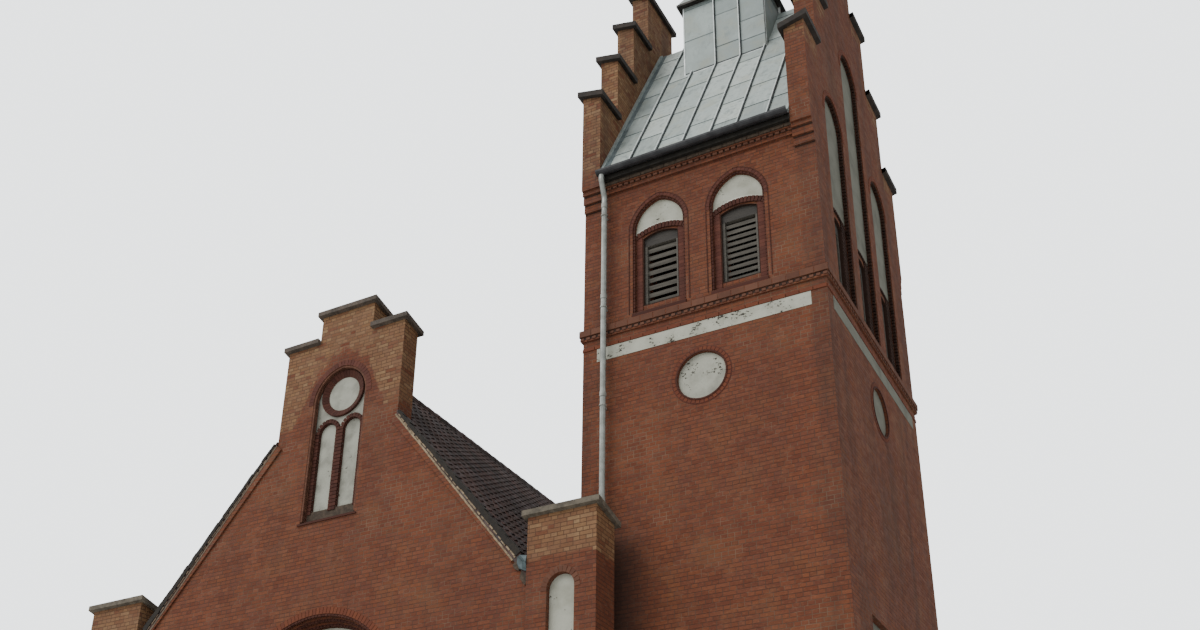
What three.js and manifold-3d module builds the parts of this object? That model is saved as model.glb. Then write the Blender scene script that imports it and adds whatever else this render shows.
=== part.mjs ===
import * as THREE from 'three';
import { mergeVertices } from 'three/addons/utils/BufferGeometryUtils.js';
import Module from 'manifold-3d';

// A brick church with a stepped-gable nave and a square tower beside its front, at full size.
// Units are millimetres. While it is built, X = 0 is the nave's axis, Y = 0 the plane of its front
// gable with +Y going back, and Z = 0 the ground. At the end the origin moves under the footprint's middle.

// Clearance kept between pieces that touch.
const GAP = 0.3;
// How far a cutting shape runs past the face that it cuts.
const PAST = 20;

// Nave. Its right wall stands against the tower's left wall.
const NAVE_HALF_WIDTH = 5040;
const NAVE_LENGTH = 18000;
const NAVE_WALL = 510;
const PARAPET_WALL = 440;
const ROOF_SLOPE = 1.22;
const ROOF_UNDERSIDE_AT_RIDGE = 15310;
const NAVE_ROOF_THICKNESS = 240;
const EAVE_OVERHANG = 300;
const VERGE_OVERHANG = 30;
const RIDGE_TILE_RADIUS = 130;

// Stepped top of the nave's gables
const PARAPET_FOOT = 12500;
const SHOULDER_HALF_WIDTH = 1490;
const SHOULDER_TOP = 15855;
const TOP_BLOCK_HALF_WIDTH = 670;
const TOP_BLOCK_TOP = 16505;

// Coping slabs: their thickness, overhang and fall towards the roof
const COPING_THICKNESS = 100;
const COPING_OVERHANG = 85;
const COPING_FALL = 0.25;

// Corner piers of the nave
const PIER_INNER = 4580;
const PIER_OUTER = 5930;
const PIER_DEPTH = 590;
const PIER_PROJECTION = 60;
const PIER_TOP = 10805;

// Tower
const TOWER_LEFT = NAVE_HALF_WIDTH + GAP;
const TOWER_RIGHT = 9900;
const TOWER_FRONT = 980;
const TOWER_BACK = 6620;
const TOWER_WALL = 550;
const THICK_WALL_TOP = 18300;
const STRING_BOTTOM = 14800;
const STRING_BAND = 14900;
const STRING_TOP = 15040;
const STRING_PROJECTION = 60;
const STRING_SETBACK = 25;

// Tower gables: four coping heights, each step as far in as the last
const GABLE_WALL = 410;
const GABLE_CORBEL = 175;
const GABLE_CORBEL_FOOT = 17830;
const GABLE_STEPS = 4;
const FIRST_STEP_TOP = 20745;
const STEP_RISE = 1654;
const STEP_RUN = 776;
const TOP_STEP_HALF = 667;

// Tower roof and its ridge turret
const TOWER_RIDGE = 24250;
const TOWER_ROOF_EAVE = 18560;
const TOWER_ROOF_OVERHANG = 190;
const TOWER_ROOF_THICKNESS = 170;
const TURRET_WIDTH = 1940;
const TURRET_WALL = 120;
const TURRET_TOP = 24450;
const TURRET_EAVE = 120;
const TURRET_ROOF_EDGE = 60;
const TURRET_PEAK = 26500;

const TOWER_MIDDLE_X = (TOWER_LEFT + TOWER_RIGHT) / 2;
const TOWER_MIDDLE_Y = (TOWER_FRONT + TOWER_BACK) / 2;

// Finishes
const redBrick = { color: 0x7a4834, roughness: 0.9, metalness: 0 };
const ochreBrick = { color: 0x8c6941, roughness: 0.9, metalness: 0 };
const concrete = { color: 0x4b4641, roughness: 0.9, metalness: 0 };
const plaster = { color: 0xbebeb2, roughness: 0.85, metalness: 0 };
const pantile = { color: 0x3c2a28, roughness: 0.7, metalness: 0 };
const zinc = { color: 0xa5afac, roughness: 0.45, metalness: 0.6 };
const darkGutter = { color: 0x2d2d30, roughness: 0.5, metalness: 0.4 };
const louvreWood = { color: 0x695f55, roughness: 0.85, metalness: 0 };
const doorWood = { color: 0x4a3322, roughness: 0.7, metalness: 0 };
const windowGlass = { color: 0x38424a, roughness: 0.15, metalness: 0 };

const wasm = await Module();
wasm.setup();

const church = new THREE.Group();
const axisX = new THREE.Vector3(1, 0, 0);
const axisY = new THREE.Vector3(0, 1, 0);
const axisZ = new THREE.Vector3(0, 0, 1);

function solid(geometry) {
  const bare = geometry.clone();
  bare.deleteAttribute('normal');
  bare.deleteAttribute('uv');
  const merged = mergeVertices(bare, 0.001);
  const vertProperties = new Float32Array(merged.attributes.position.array);
  const triVerts = new Uint32Array(merged.index.array);
  return new wasm.Manifold(new wasm.Mesh({ numProp: 3, vertProperties, triVerts }));
}

function addPiece(name, shape, finish) {
  const mesh = shape.getMesh();
  const geometry = new THREE.BufferGeometry();
  geometry.setAttribute('position', new THREE.BufferAttribute(mesh.vertProperties, 3));
  geometry.setIndex(new THREE.BufferAttribute(mesh.triVerts, 1));
  geometry.computeVertexNormals();
  const piece = new THREE.Mesh(geometry, new THREE.MeshStandardMaterial(finish));
  piece.name = name;
  church.add(piece);
}

function box(x0, x1, y0, y1, z0, z1) {
  const geometry = new THREE.BoxGeometry(x1 - x0, y1 - y0, z1 - z0);
  geometry.translate((x0 + x1) / 2, (y0 + y1) / 2, (z0 + z1) / 2);
  return solid(geometry);
}

// A prism whose outline lies in the plane of X and Z, from y0 back to y1.
function prismAlongY(outline, y0, y1) {
  const geometry = new THREE.ExtrudeGeometry(outlineShape(outline), { depth: y1 - y0, bevelEnabled: false });
  geometry.applyMatrix4(new THREE.Matrix4().makeBasis(axisX, axisZ, axisY.clone().negate()));
  geometry.translate(0, y1, 0);
  return solid(geometry);
}

// A prism whose outline lies in the plane of Y and Z, from x0 to x1.
function prismAlongX(outline, x0, x1) {
  const geometry = new THREE.ExtrudeGeometry(outlineShape(outline), { depth: x1 - x0, bevelEnabled: false });
  geometry.applyMatrix4(new THREE.Matrix4().makeBasis(axisY, axisZ, axisX));
  geometry.translate(x0, 0, 0);
  return solid(geometry);
}

function outlineShape(outline) {
  return new THREE.Shape(outline.map(([across, up]) => new THREE.Vector2(across, up)));
}

// The outline of an opening whose head is two equal arcs: a round arch where the rise is the half width,
// a pointed one where it is more, and a segmental one where it is less.
function archOutline(middle, halfWidth, sill, springing, rise, segments = 10) {
  const points = [[middle - halfWidth, sill], [middle + halfWidth, sill]];
  if (rise >= halfWidth) {
    const radius = (halfWidth ** 2 + rise ** 2) / (2 * halfWidth);
    const apexAngle = Math.atan2(rise, radius - halfWidth);
    const reach = (step) => radius * Math.cos((apexAngle * step) / segments) + halfWidth - radius;
    const height = (step) => springing + radius * Math.sin((apexAngle * step) / segments);
    for (let step = 0; step <= segments; step += 1) {
      points.push([middle + reach(step), height(step)]);
    }
    for (let step = segments - 1; step >= 0; step -= 1) {
      points.push([middle - reach(step), height(step)]);
    }
    return points;
  }
  const radius = (halfWidth ** 2 + rise ** 2) / (2 * rise);
  const half = Math.asin(halfWidth / radius);
  for (let step = 0; step <= segments; step += 1) {
    const angle = half - (2 * half * step) / segments;
    points.push([middle + radius * Math.sin(angle), springing + rise - radius + radius * Math.cos(angle)]);
  }
  return points;
}

function circleOutline(across, up, radius, segments = 32) {
  const points = [];
  for (let step = 0; step < segments; step += 1) {
    const angle = (2 * Math.PI * step) / segments;
    points.push([across + radius * Math.cos(angle), up + radius * Math.sin(angle)]);
  }
  return points;
}

function mirrorInY(shape, middle) {
  return shape.mirror([0, 1, 0]).translate([0, 2 * middle, 0]);
}

function mirrorInX(shape, middle) {
  return shape.mirror([1, 0, 0]).translate([2 * middle, 0, 0]);
}

const roofUnderside = (x) => ROOF_UNDERSIDE_AT_RIDGE - ROOF_SLOPE * Math.abs(x);

// Gable walls of the nave: a blind traceried niche above a wide round-arched recess with two windows.
const TRACERY = { halfWidth: 665, sill: 11750, springing: 14450, rise: 720, depth: 290 };
const ARCH = { outer: 1950, middle: 1885, inner: 1820, springing: 7850, sill: 4300, step: 110 };
const ARCH_WINDOW = { offset: 760, halfWidth: 520, sill: 4600, springing: 7100 };
const DOOR = { halfWidth: 1150, springing: 2300, porchHalfWidth: 1500, porchStep: 130 };

// The part of a wall top that lies above a coping's sloping bed, to be cut away.
function aboveBed(x0, x1, y0, y1, frontHeight) {
  const bed = (y) => frontHeight - COPING_FALL * (y - y0);
  const low = y0 - PAST;
  const high = y1 + PAST;
  return prismAlongX([[low, bed(low)], [high, bed(high)], [high, bed(low) + PAST]], x0 - PAST, x1 + PAST);
}

function gableWall() {
  const halfWidth = PIER_INNER - GAP;
  const outline = [
    [-halfWidth, 0], [halfWidth, 0], [halfWidth, roofUnderside(halfWidth) - GAP],
    [0, ROOF_UNDERSIDE_AT_RIDGE - GAP], [-halfWidth, roofUnderside(halfWidth) - GAP],
  ];
  const parapet = [
    [-SHOULDER_HALF_WIDTH, PARAPET_FOOT], [SHOULDER_HALF_WIDTH, PARAPET_FOOT],
    [SHOULDER_HALF_WIDTH, SHOULDER_TOP], [TOP_BLOCK_HALF_WIDTH, SHOULDER_TOP],
    [TOP_BLOCK_HALF_WIDTH, TOP_BLOCK_TOP],
    [-TOP_BLOCK_HALF_WIDTH, TOP_BLOCK_TOP], [-TOP_BLOCK_HALF_WIDTH, SHOULDER_TOP],
    [-SHOULDER_HALF_WIDTH, SHOULDER_TOP],
  ];
  const block = TOP_BLOCK_HALF_WIDTH;
  const shoulder = SHOULDER_HALF_WIDTH;
  return prismAlongY(outline, 0, NAVE_WALL)
    .add(prismAlongY(parapet, 0, PARAPET_WALL))
    .subtract(aboveBed(-block, block, 0, PARAPET_WALL, TOP_BLOCK_TOP))
    .subtract(aboveBed(-shoulder, -block - PAST, 0, PARAPET_WALL, SHOULDER_TOP))
    .subtract(aboveBed(block + PAST, shoulder, 0, PARAPET_WALL, SHOULDER_TOP));
}

function traceryOutline(inset) {
  const { halfWidth, sill, springing, rise } = TRACERY;
  return archOutline(0, halfWidth - inset, sill + inset, springing, rise - inset);
}

function cutTraceryNiche(wall) {
  return wall.subtract(prismAlongY(traceryOutline(0), -PAST, TRACERY.depth));
}

function archRecess(radius, depth) {
  return prismAlongY(archOutline(0, radius, ARCH.sill, ARCH.springing, radius, 20), -PAST, depth);
}

function archWindowOutline(side, inset) {
  const { offset, halfWidth, sill, springing } = ARCH_WINDOW;
  const half = halfWidth - inset;
  return archOutline(side * offset, half, sill + inset, springing, half);
}

function doorOutline(halfWidth) {
  return archOutline(0, halfWidth, -PAST, DOOR.springing, halfWidth);
}

function cutFrontOpenings(wall) {
  let shape = wall.subtract(archRecess(ARCH.outer, ARCH.step));
  shape = shape.subtract(archRecess(ARCH.middle, 2 * ARCH.step));
  shape = shape.subtract(archRecess(ARCH.inner, 3 * ARCH.step));
  for (const side of [-1, 1]) {
    shape = shape.subtract(prismAlongY(archWindowOutline(side, 0), -PAST, NAVE_WALL + PAST));
  }
  shape = shape.subtract(prismAlongY(doorOutline(DOOR.porchHalfWidth), -PAST, DOOR.porchStep));
  return shape.subtract(prismAlongY(doorOutline(DOOR.halfWidth), -PAST, NAVE_WALL + PAST));
}

// The tracery that fills the niche: a plate with two pointed lights and a roundel sunk in its face.
const LIGHT = { offset: 300, halfWidth: 210, sill: 12020, springing: 13745, rise: 215 };
const ROUNDEL = { up: 14580, radius: 375 };
const TRACERY_PLATE = { front: 130, panelDepth: 120 };

function tracery() {
  const inset = GAP;
  let plate = prismAlongY(traceryOutline(inset), TRACERY_PLATE.front, TRACERY.depth - GAP);
  const sunk = TRACERY_PLATE.front + TRACERY_PLATE.panelDepth;
  for (const side of [-1, 1]) {
    const { offset, halfWidth, sill, springing, rise } = LIGHT;
    const light = archOutline(side * offset, halfWidth, sill, springing, rise, 6);
    plate = plate.subtract(prismAlongY(light, 0, sunk));
  }
  return plate.subtract(prismAlongY(circleOutline(0, ROUNDEL.up, ROUNDEL.radius), 0, sunk));
}

const backOf = (shape) => mirrorInY(shape, NAVE_LENGTH / 2);
const plainGable = cutTraceryNiche(gableWall());
addPiece('nave_front_wall', cutFrontOpenings(plainGable), redBrick);
addPiece('nave_back_wall', backOf(plainGable), redBrick);
addPiece('front_gable_tracery', tracery(), plaster);
addPiece('back_gable_tracery', backOf(tracery()), plaster);

// Windows and door of the front wall, closed
const WINDOW_FRONT = 400;
const WINDOW_THICKNESS = 60;
const GLASS_THICKNESS = 20;
const FRAME_WIDTH = 70;

function archWindow(side) {
  const back = WINDOW_FRONT + WINDOW_THICKNESS;
  const frame = prismAlongY(archWindowOutline(side, GAP), WINDOW_FRONT, back);
  const pane = prismAlongY(archWindowOutline(side, FRAME_WIDTH), WINDOW_FRONT - PAST, back - GLASS_THICKNESS);
  return frame.subtract(pane);
}

addPiece('front_window_left', archWindow(-1), windowGlass);
addPiece('front_window_right', archWindow(1), windowGlass);

const DOOR_FRONT = 250;
const DOOR_THICKNESS = 80;
const door = prismAlongY(doorOutline(DOOR.halfWidth - GAP), DOOR_FRONT, DOOR_FRONT + DOOR_THICKNESS);
const aboveSill = box(-NAVE_HALF_WIDTH, NAVE_HALF_WIDTH, 0, NAVE_LENGTH, 0, TOP_BLOCK_TOP);
addPiece('main_door', door.intersect(aboveSill), doorWood);

// Side walls of the nave with tall round-headed windows, and a sheet of glass inside each wall
const SIDE_WINDOW = { halfWidth: 550, sill: 3600, springing: 7300 };
const LEFT_WINDOWS = [2700, 6900, 11100, 15300];
const RIGHT_WINDOWS = [8000, 11650, 15300];
const SHEET_MARGIN = 150;

function sideWall(windows) {
  const inner = NAVE_HALF_WIDTH - NAVE_WALL;
  const outline = [
    [inner, 0], [NAVE_HALF_WIDTH, 0],
    [NAVE_HALF_WIDTH, roofUnderside(NAVE_HALF_WIDTH) - GAP], [inner, roofUnderside(inner) - GAP],
  ];
  let wall = prismAlongY(outline, PIER_DEPTH + GAP, NAVE_LENGTH - PIER_DEPTH - GAP);
  for (const middle of windows) {
    const { halfWidth, sill, springing } = SIDE_WINDOW;
    const opening = archOutline(middle, halfWidth, sill, springing, halfWidth);
    wall = wall.subtract(prismAlongX(opening, inner - PAST, NAVE_HALF_WIDTH + PAST));
  }
  return wall;
}

function sideGlass(windows) {
  const outer = NAVE_HALF_WIDTH - NAVE_WALL - GAP;
  const reach = SIDE_WINDOW.halfWidth + SHEET_MARGIN;
  const top = SIDE_WINDOW.springing + reach;
  const low = SIDE_WINDOW.sill - SHEET_MARGIN;
  return box(outer - GLASS_THICKNESS, outer, windows[0] - reach, windows.at(-1) + reach, low, top);
}

addPiece('nave_left_wall', mirrorInX(sideWall(LEFT_WINDOWS), 0), redBrick);
addPiece('nave_right_wall', sideWall(RIGHT_WINDOWS), redBrick);
addPiece('nave_left_windows', mirrorInX(sideGlass(LEFT_WINDOWS), 0), windowGlass);
addPiece('nave_right_windows', sideGlass(RIGHT_WINDOWS), windowGlass);

// Corner piers, each with a blind round-headed niche in its front
const PIER_NICHE = { halfWidth: 265, sill: 6400, springing: 9415, depth: 110 };

function pier() {
  const body = box(PIER_INNER, PIER_OUTER, -PIER_PROJECTION, PIER_DEPTH, 0, PIER_TOP);
  const { halfWidth, sill, springing, depth } = PIER_NICHE;
  const niche = archOutline((PIER_INNER + PIER_OUTER) / 2, halfWidth, sill, springing, halfWidth);
  return body
    .subtract(aboveBed(PIER_INNER, PIER_OUTER, -PIER_PROJECTION, PIER_DEPTH, PIER_TOP))
    .subtract(prismAlongY(niche, -PIER_PROJECTION - PAST, depth - PIER_PROJECTION));
}

// A slab along X that falls towards the back, resting on a wall top from y0 to y1.
function copingAlongX(x0, x1, y0, y1, frontHeight) {
  const low = y0 - COPING_OVERHANG;
  const high = y1 + COPING_OVERHANG;
  const under = (y) => frontHeight + GAP - COPING_FALL * (y - y0);
  const outline = [
    [low, under(low)], [high, under(high)],
    [high, under(high) + COPING_THICKNESS], [low, under(low) + COPING_THICKNESS],
  ];
  return prismAlongX(outline, x0, x1);
}

const pierCoping = () => copingAlongX(
  PIER_INNER - COPING_OVERHANG, PIER_OUTER + COPING_OVERHANG, -PIER_PROJECTION, PIER_DEPTH, PIER_TOP,
);
const pierSides = { left: (shape) => mirrorInX(shape, 0), right: (shape) => shape };
for (const [side, place] of Object.entries(pierSides)) {
  addPiece(`front_${side}_pier`, place(pier()), ochreBrick);
  addPiece(`front_${side}_pier_coping`, place(pierCoping()), concrete);
  addPiece(`back_${side}_pier`, backOf(place(pier())), ochreBrick);
  addPiece(`back_${side}_pier_coping`, backOf(place(pierCoping())), concrete);
}

// Copings on the nave's gables: one over the top block and one over each shoulder
const topReach = TOP_BLOCK_HALF_WIDTH + COPING_OVERHANG;
const topCoping = copingAlongX(-topReach, topReach, 0, PARAPET_WALL, TOP_BLOCK_TOP);
const shoulderCoping = copingAlongX(
  TOP_BLOCK_HALF_WIDTH + GAP, SHOULDER_HALF_WIDTH + COPING_OVERHANG, 0, PARAPET_WALL, SHOULDER_TOP,
);
const gableCopings = { top: topCoping, left: mirrorInX(shoulderCoping, 0), right: shoulderCoping };
for (const [place, coping] of Object.entries(gableCopings)) {
  addPiece(`front_gable_${place}_coping`, coping, concrete);
  addPiece(`back_gable_${place}_coping`, backOf(coping), concrete);
}

// Nave roof: two slopes that run over the gable walls and stop against the parapets, piers and tower.
// Each row of tiles rises to its tail, which laps over the head of the next row.
const TILE_ROW = { first: 370, exposed: 300, headLift: 8, tailLift: 34, bed: 200 };

function tiledSlope(eave) {
  const slopeLength = Math.hypot(1, ROOF_SLOPE);
  const at = (down, lift) => {
    const x = (down + lift * ROOF_SLOPE) / slopeLength;
    return [x, ROOF_UNDERSIDE_AT_RIDGE + NAVE_ROOF_THICKNESS + (lift - ROOF_SLOPE * down) / slopeLength];
  };
  const points = [at(TILE_ROW.bed, 0)];
  for (let down = TILE_ROW.first; at(down, TILE_ROW.tailLift)[0] < eave; down += TILE_ROW.exposed) {
    points.push(at(down, TILE_ROW.tailLift), at(down, TILE_ROW.headLift));
  }
  return points;
}

function naveRoof() {
  const eave = NAVE_HALF_WIDTH + EAVE_OVERHANG;
  const outline = [
    [GAP / 2, roofUnderside(GAP / 2)], [GAP / 2, roofUnderside(GAP / 2) + NAVE_ROOF_THICKNESS],
    ...tiledSlope(eave),
    [eave, roofUnderside(eave) + NAVE_ROOF_THICKNESS + TILE_ROW.tailLift], [eave, roofUnderside(eave)],
  ].reverse();
  const parapet = box(
    -PAST, SHOULDER_HALF_WIDTH + GAP, -VERGE_OVERHANG - PAST, PARAPET_WALL + GAP, 0, TOP_BLOCK_TOP,
  );
  const pierNotch = box(
    PIER_INNER - GAP, eave + PAST, -VERGE_OVERHANG - PAST, PIER_DEPTH + GAP, 0, ROOF_UNDERSIDE_AT_RIDGE,
  );
  return prismAlongY(outline, -VERGE_OVERHANG, NAVE_LENGTH + VERGE_OVERHANG)
    .subtract(parapet).subtract(backOf(parapet))
    .subtract(pierNotch).subtract(backOf(pierNotch));
}

const besideTower = box(
  NAVE_HALF_WIDTH, NAVE_HALF_WIDTH + 2 * EAVE_OVERHANG, 0, TOWER_BACK + GAP, 0, ROOF_UNDERSIDE_AT_RIDGE,
);
addPiece('nave_roof_left', mirrorInX(naveRoof(), 0), pantile);
addPiece('nave_roof_right', naveRoof().subtract(besideTower), pantile);

// Ridge tiles: a half-round run bedded on the two slopes
function ridgeTiles() {
  const ridgeTop = ROOF_UNDERSIDE_AT_RIDGE + NAVE_ROOF_THICKNESS;
  const start = PARAPET_WALL + GAP;
  const round = prismAlongY(circleOutline(0, ridgeTop - RIDGE_TILE_RADIUS / 2, RIDGE_TILE_RADIUS, 16),
    start, NAVE_LENGTH - start);
  const reach = 4 * RIDGE_TILE_RADIUS;
  const slopes = [
    [0, ridgeTop + GAP], [-reach, ridgeTop + GAP - ROOF_SLOPE * reach], [-reach, 0],
    [reach, 0], [reach, ridgeTop + GAP - ROOF_SLOPE * reach],
  ];
  return round.subtract(prismAlongY(slopes, 0, NAVE_LENGTH));
}

addPiece('nave_ridge_tiles', ridgeTiles(), pantile);

// Tower roof: its upper surface, and the eave at front and back
const EAVE_Y = TOWER_FRONT - TOWER_ROOF_OVERHANG;
const TOWER_SLOPE = (TOWER_RIDGE - TOWER_ROOF_EAVE) / (TOWER_MIDDLE_Y - EAVE_Y);
const towerRoofTop = (y) => TOWER_RIDGE - TOWER_SLOPE * Math.abs(y - TOWER_MIDDLE_Y);
const TOWER_WALL_TOP = towerRoofTop(TOWER_FRONT) - TOWER_ROOF_THICKNESS - GAP;

// Belfry windows: a shallow pointed niche in two orders, plastered over a louvred opening
const BELFRY = { offset: 815, sill: 15160, springing: 17050, order: 50 };
const BELFRY_ORDERS = [{ half: 555, rise: 680 }, { half: 515, rise: 640 }];
const LOUVRE = { half: 375, sill: 15330, springing: 16880, rise: 100 };

function cutBelfry(wall) {
  let shape = wall;
  for (const side of [-1, 1]) {
    const middle = TOWER_MIDDLE_X + side * BELFRY.offset;
    for (const [index, { half, rise }] of BELFRY_ORDERS.entries()) {
      const outline = archOutline(middle, half, BELFRY.sill, BELFRY.springing, rise);
      const depth = (index + 1) * BELFRY.order;
      shape = shape.subtract(prismAlongY(outline, TOWER_FRONT - PAST, TOWER_FRONT + depth));
    }
    const opening = archOutline(middle, LOUVRE.half, LOUVRE.sill, LOUVRE.springing, LOUVRE.rise, 6);
    shape = shape.subtract(prismAlongY(opening, TOWER_FRONT, TOWER_FRONT + TOWER_WALL + PAST));
  }
  return shape;
}

// Blind roundel under the belfry, on every face that stands free
const DISC = { up: 13450, radius: 475, depth: 60 };

function towerFrontWall() {
  const wall = box(
    TOWER_LEFT + TOWER_WALL + GAP, TOWER_RIGHT - TOWER_WALL - GAP,
    TOWER_FRONT, TOWER_FRONT + TOWER_WALL, 0, TOWER_WALL_TOP,
  );
  const disc = circleOutline(TOWER_MIDDLE_X, DISC.up, DISC.radius);
  return cutBelfry(wall).subtract(prismAlongY(disc, TOWER_FRONT - PAST, TOWER_FRONT + DISC.depth));
}

const towerBackOf = (shape) => mirrorInY(shape, TOWER_MIDDLE_Y);
addPiece('tower_front_wall', towerFrontWall(), redBrick);
addPiece('tower_back_wall', towerBackOf(towerFrontWall()), redBrick);

// Side walls of the tower. Each rises into a stepped gable under coping slabs that fall towards the roof.
const LANCETS = [
  { offset: -1475, springing: 19280 },
  { offset: 0, springing: 21620 },
  { offset: 1475, springing: 19280 },
];
const LANCET = { half: 540, rise: 600, depth: 115 };
const SLIT = { half: 225, sill: 15140, springing: 16880, rise: 80 };
const LOW_NICHES = { offsets: [-1150, 1150], half: 630, sill: 6400, top: 8850, depth: 115 };
const CORBELS = 4;
const CORBEL_RISE = 185;

const stepHalf = (step) => TOP_STEP_HALF + (GABLE_STEPS - 1 - step) * STEP_RUN;
const stepTop = (step) => FIRST_STEP_TOP + step * STEP_RISE;

// The outline across the gable of one step, or of its coping, whose upper edge falls towards the roof.
function slopingOutline(x0, x1, bottom, top) {
  const at = (x) => top - COPING_FALL * (x - TOWER_LEFT);
  return [[x0, bottom(x0)], [x1, bottom(x1)], [x1, at(x1)], [x0, at(x0)]];
}

function steppedGable() {
  const inner = TOWER_LEFT + GABLE_WALL;
  let gable = null;
  for (let step = 0; step < GABLE_STEPS; step += 1) {
    const half = stepHalf(step);
    const outline = slopingOutline(TOWER_LEFT, inner, () => THICK_WALL_TOP, stepTop(step));
    const block = prismAlongY(outline, TOWER_MIDDLE_Y - half, TOWER_MIDDLE_Y + half);
    gable = gable === null ? block : gable.add(block);
  }
  const high = GABLE_CORBEL_FOOT + CORBELS * CORBEL_RISE;
  for (let corbel = 0; corbel < CORBELS; corbel += 1) {
    const half = stepHalf(0) - (GABLE_CORBEL * (CORBELS - 1 - corbel)) / CORBELS;
    const low = GABLE_CORBEL_FOOT + corbel * CORBEL_RISE;
    gable = gable.add(box(TOWER_LEFT, inner, TOWER_MIDDLE_Y - half, TOWER_MIDDLE_Y + half, low, high));
  }
  return gable;
}

function gableCopingSlabs() {
  const x0 = TOWER_LEFT - COPING_OVERHANG;
  const x1 = TOWER_LEFT + GABLE_WALL + COPING_OVERHANG;
  let slabs = null;
  for (let step = 0; step < GABLE_STEPS; step += 1) {
    const top = stepTop(step);
    const under = (x) => top - PAST - COPING_FALL * (x - TOWER_LEFT);
    const outline = slopingOutline(x0, x1, under, top + COPING_THICKNESS - PAST);
    const end = stepHalf(step) + COPING_OVERHANG;
    const last = step === GABLE_STEPS - 1;
    const inside = last ? 0 : stepHalf(step + 1) - PAST;
    const slab = prismAlongY(outline, TOWER_MIDDLE_Y - end, TOWER_MIDDLE_Y - inside);
    const pair = slab.add(towerBackOf(slab));
    slabs = slabs === null ? pair : slabs.add(pair);
  }
  return slabs;
}

function towerSideWall() {
  const thick = box(TOWER_LEFT, TOWER_LEFT + TOWER_WALL, TOWER_FRONT, TOWER_BACK, 0, THICK_WALL_TOP);
  let wall = thick.add(steppedGable()).add(gableCopingSlabs());
  const outer = TOWER_LEFT - PAST;
  for (const { offset, springing } of LANCETS) {
    const middle = TOWER_MIDDLE_Y + offset;
    const niche = archOutline(middle, LANCET.half, STRING_TOP, springing, LANCET.rise);
    const slit = archOutline(middle, SLIT.half, SLIT.sill, SLIT.springing, SLIT.rise, 6);
    wall = wall
      .subtract(prismAlongX(niche, outer, TOWER_LEFT + LANCET.depth))
      .subtract(prismAlongX(slit, outer, TOWER_LEFT + TOWER_WALL + PAST));
  }
  const disc = circleOutline(TOWER_MIDDLE_Y, DISC.up, DISC.radius);
  return wall.subtract(prismAlongX(disc, outer, TOWER_LEFT + DISC.depth));
}

function cutLowNiches(wall) {
  let shape = wall;
  for (const offset of LOW_NICHES.offsets) {
    const { half, sill, top, depth } = LOW_NICHES;
    const middle = TOWER_MIDDLE_Y + offset;
    const niche = box(TOWER_RIGHT - depth, TOWER_RIGHT + PAST, middle - half, middle + half, sill, top);
    shape = shape.subtract(niche);
  }
  return shape;
}

const towerRightOf = (shape) => mirrorInX(shape, TOWER_MIDDLE_X);
addPiece('tower_left_wall', towerSideWall(), redBrick);
addPiece('tower_right_wall', cutLowNiches(towerRightOf(towerSideWall())), redBrick);

// String course around the tower: a plain band over a set-back row
function stringCourse() {
  const ring = (reach, z0, z1) => box(
    TOWER_LEFT - reach, TOWER_RIGHT + reach, TOWER_FRONT - reach, TOWER_BACK + reach, z0, z1,
  );
  return ring(STRING_PROJECTION, STRING_BAND, STRING_TOP)
    .add(ring(STRING_PROJECTION - STRING_SETBACK, STRING_BOTTOM, STRING_BAND + PAST))
    .subtract(ring(GAP, STRING_BOTTOM - PAST, STRING_TOP + PAST));
}

addPiece('tower_string_course', stringCourse(), redBrick);

// Eaves cornice: two courses that step out between the gable ends
const CORNICE = { foot: 18120, middle: 18260, top: 18480, firstStep: 50, secondStep: 100 };
const ROOF_LEFT = TOWER_LEFT + GABLE_WALL + GAP;
const ROOF_RIGHT = TOWER_RIGHT - GABLE_WALL - GAP;

function cornice() {
  const { foot, middle, top, firstStep, secondStep } = CORNICE;
  const wallFace = TOWER_FRONT - GAP;
  return box(ROOF_LEFT, ROOF_RIGHT, wallFace - firstStep, wallFace, foot, middle + PAST)
    .add(box(ROOF_LEFT, ROOF_RIGHT, wallFace - secondStep, wallFace, middle, top));
}

addPiece('tower_front_cornice', cornice(), redBrick);
addPiece('tower_back_cornice', towerBackOf(cornice()), redBrick);

// Louvres: a frame with slats that fall outwards
const SLAT = { pitch: 170, thickness: 22, width: 120, fall: 0.7, lip: 10 };
const LOUVRE_FRAME = { width: 55, depth: 110 };

// A louvre that fills an arched opening, with its frame's face in the plane of Y at the front.
function louvrePanel(middle, opening, front) {
  const { half, sill, springing, rise } = opening;
  const outline = archOutline(middle, half - GAP, sill + GAP, springing, rise - GAP, 6);
  const inset = LOUVRE_FRAME.width;
  const clear = archOutline(middle, half - inset, sill + inset, springing - inset, rise, 6);
  const back = front + LOUVRE_FRAME.depth;
  const panel = prismAlongY(outline, front, back);
  let slats = null;
  const outer = front - SLAT.lip;
  const drop = SLAT.fall * SLAT.width;
  for (let up = sill + inset - PAST; up < springing + rise; up += SLAT.pitch) {
    const section = [
      [outer, up], [outer + SLAT.width, up + drop],
      [outer + SLAT.width, up + drop + SLAT.thickness], [outer, up + SLAT.thickness],
    ];
    const slat = prismAlongX(section, middle - half, middle + half);
    slats = slats === null ? slat : slats.add(slat);
  }
  const inside = prismAlongY(clear, front - PAST, back + PAST);
  return panel.subtract(inside).add(slats.intersect(panel));
}

const LOUVRE_SETBACK = 50;
const LOUVRE_FRONT = TOWER_FRONT + BELFRY_ORDERS.length * BELFRY.order + LOUVRE_SETBACK;
for (const [name, side] of [['left', -1], ['right', 1]]) {
  const louvre = louvrePanel(TOWER_MIDDLE_X + side * BELFRY.offset, LOUVRE, LOUVRE_FRONT);
  addPiece(`tower_front_${name}_louvre`, louvre, louvreWood);
  addPiece(`tower_back_${name}_louvre`, towerBackOf(louvre), louvreWood);
}

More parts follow.
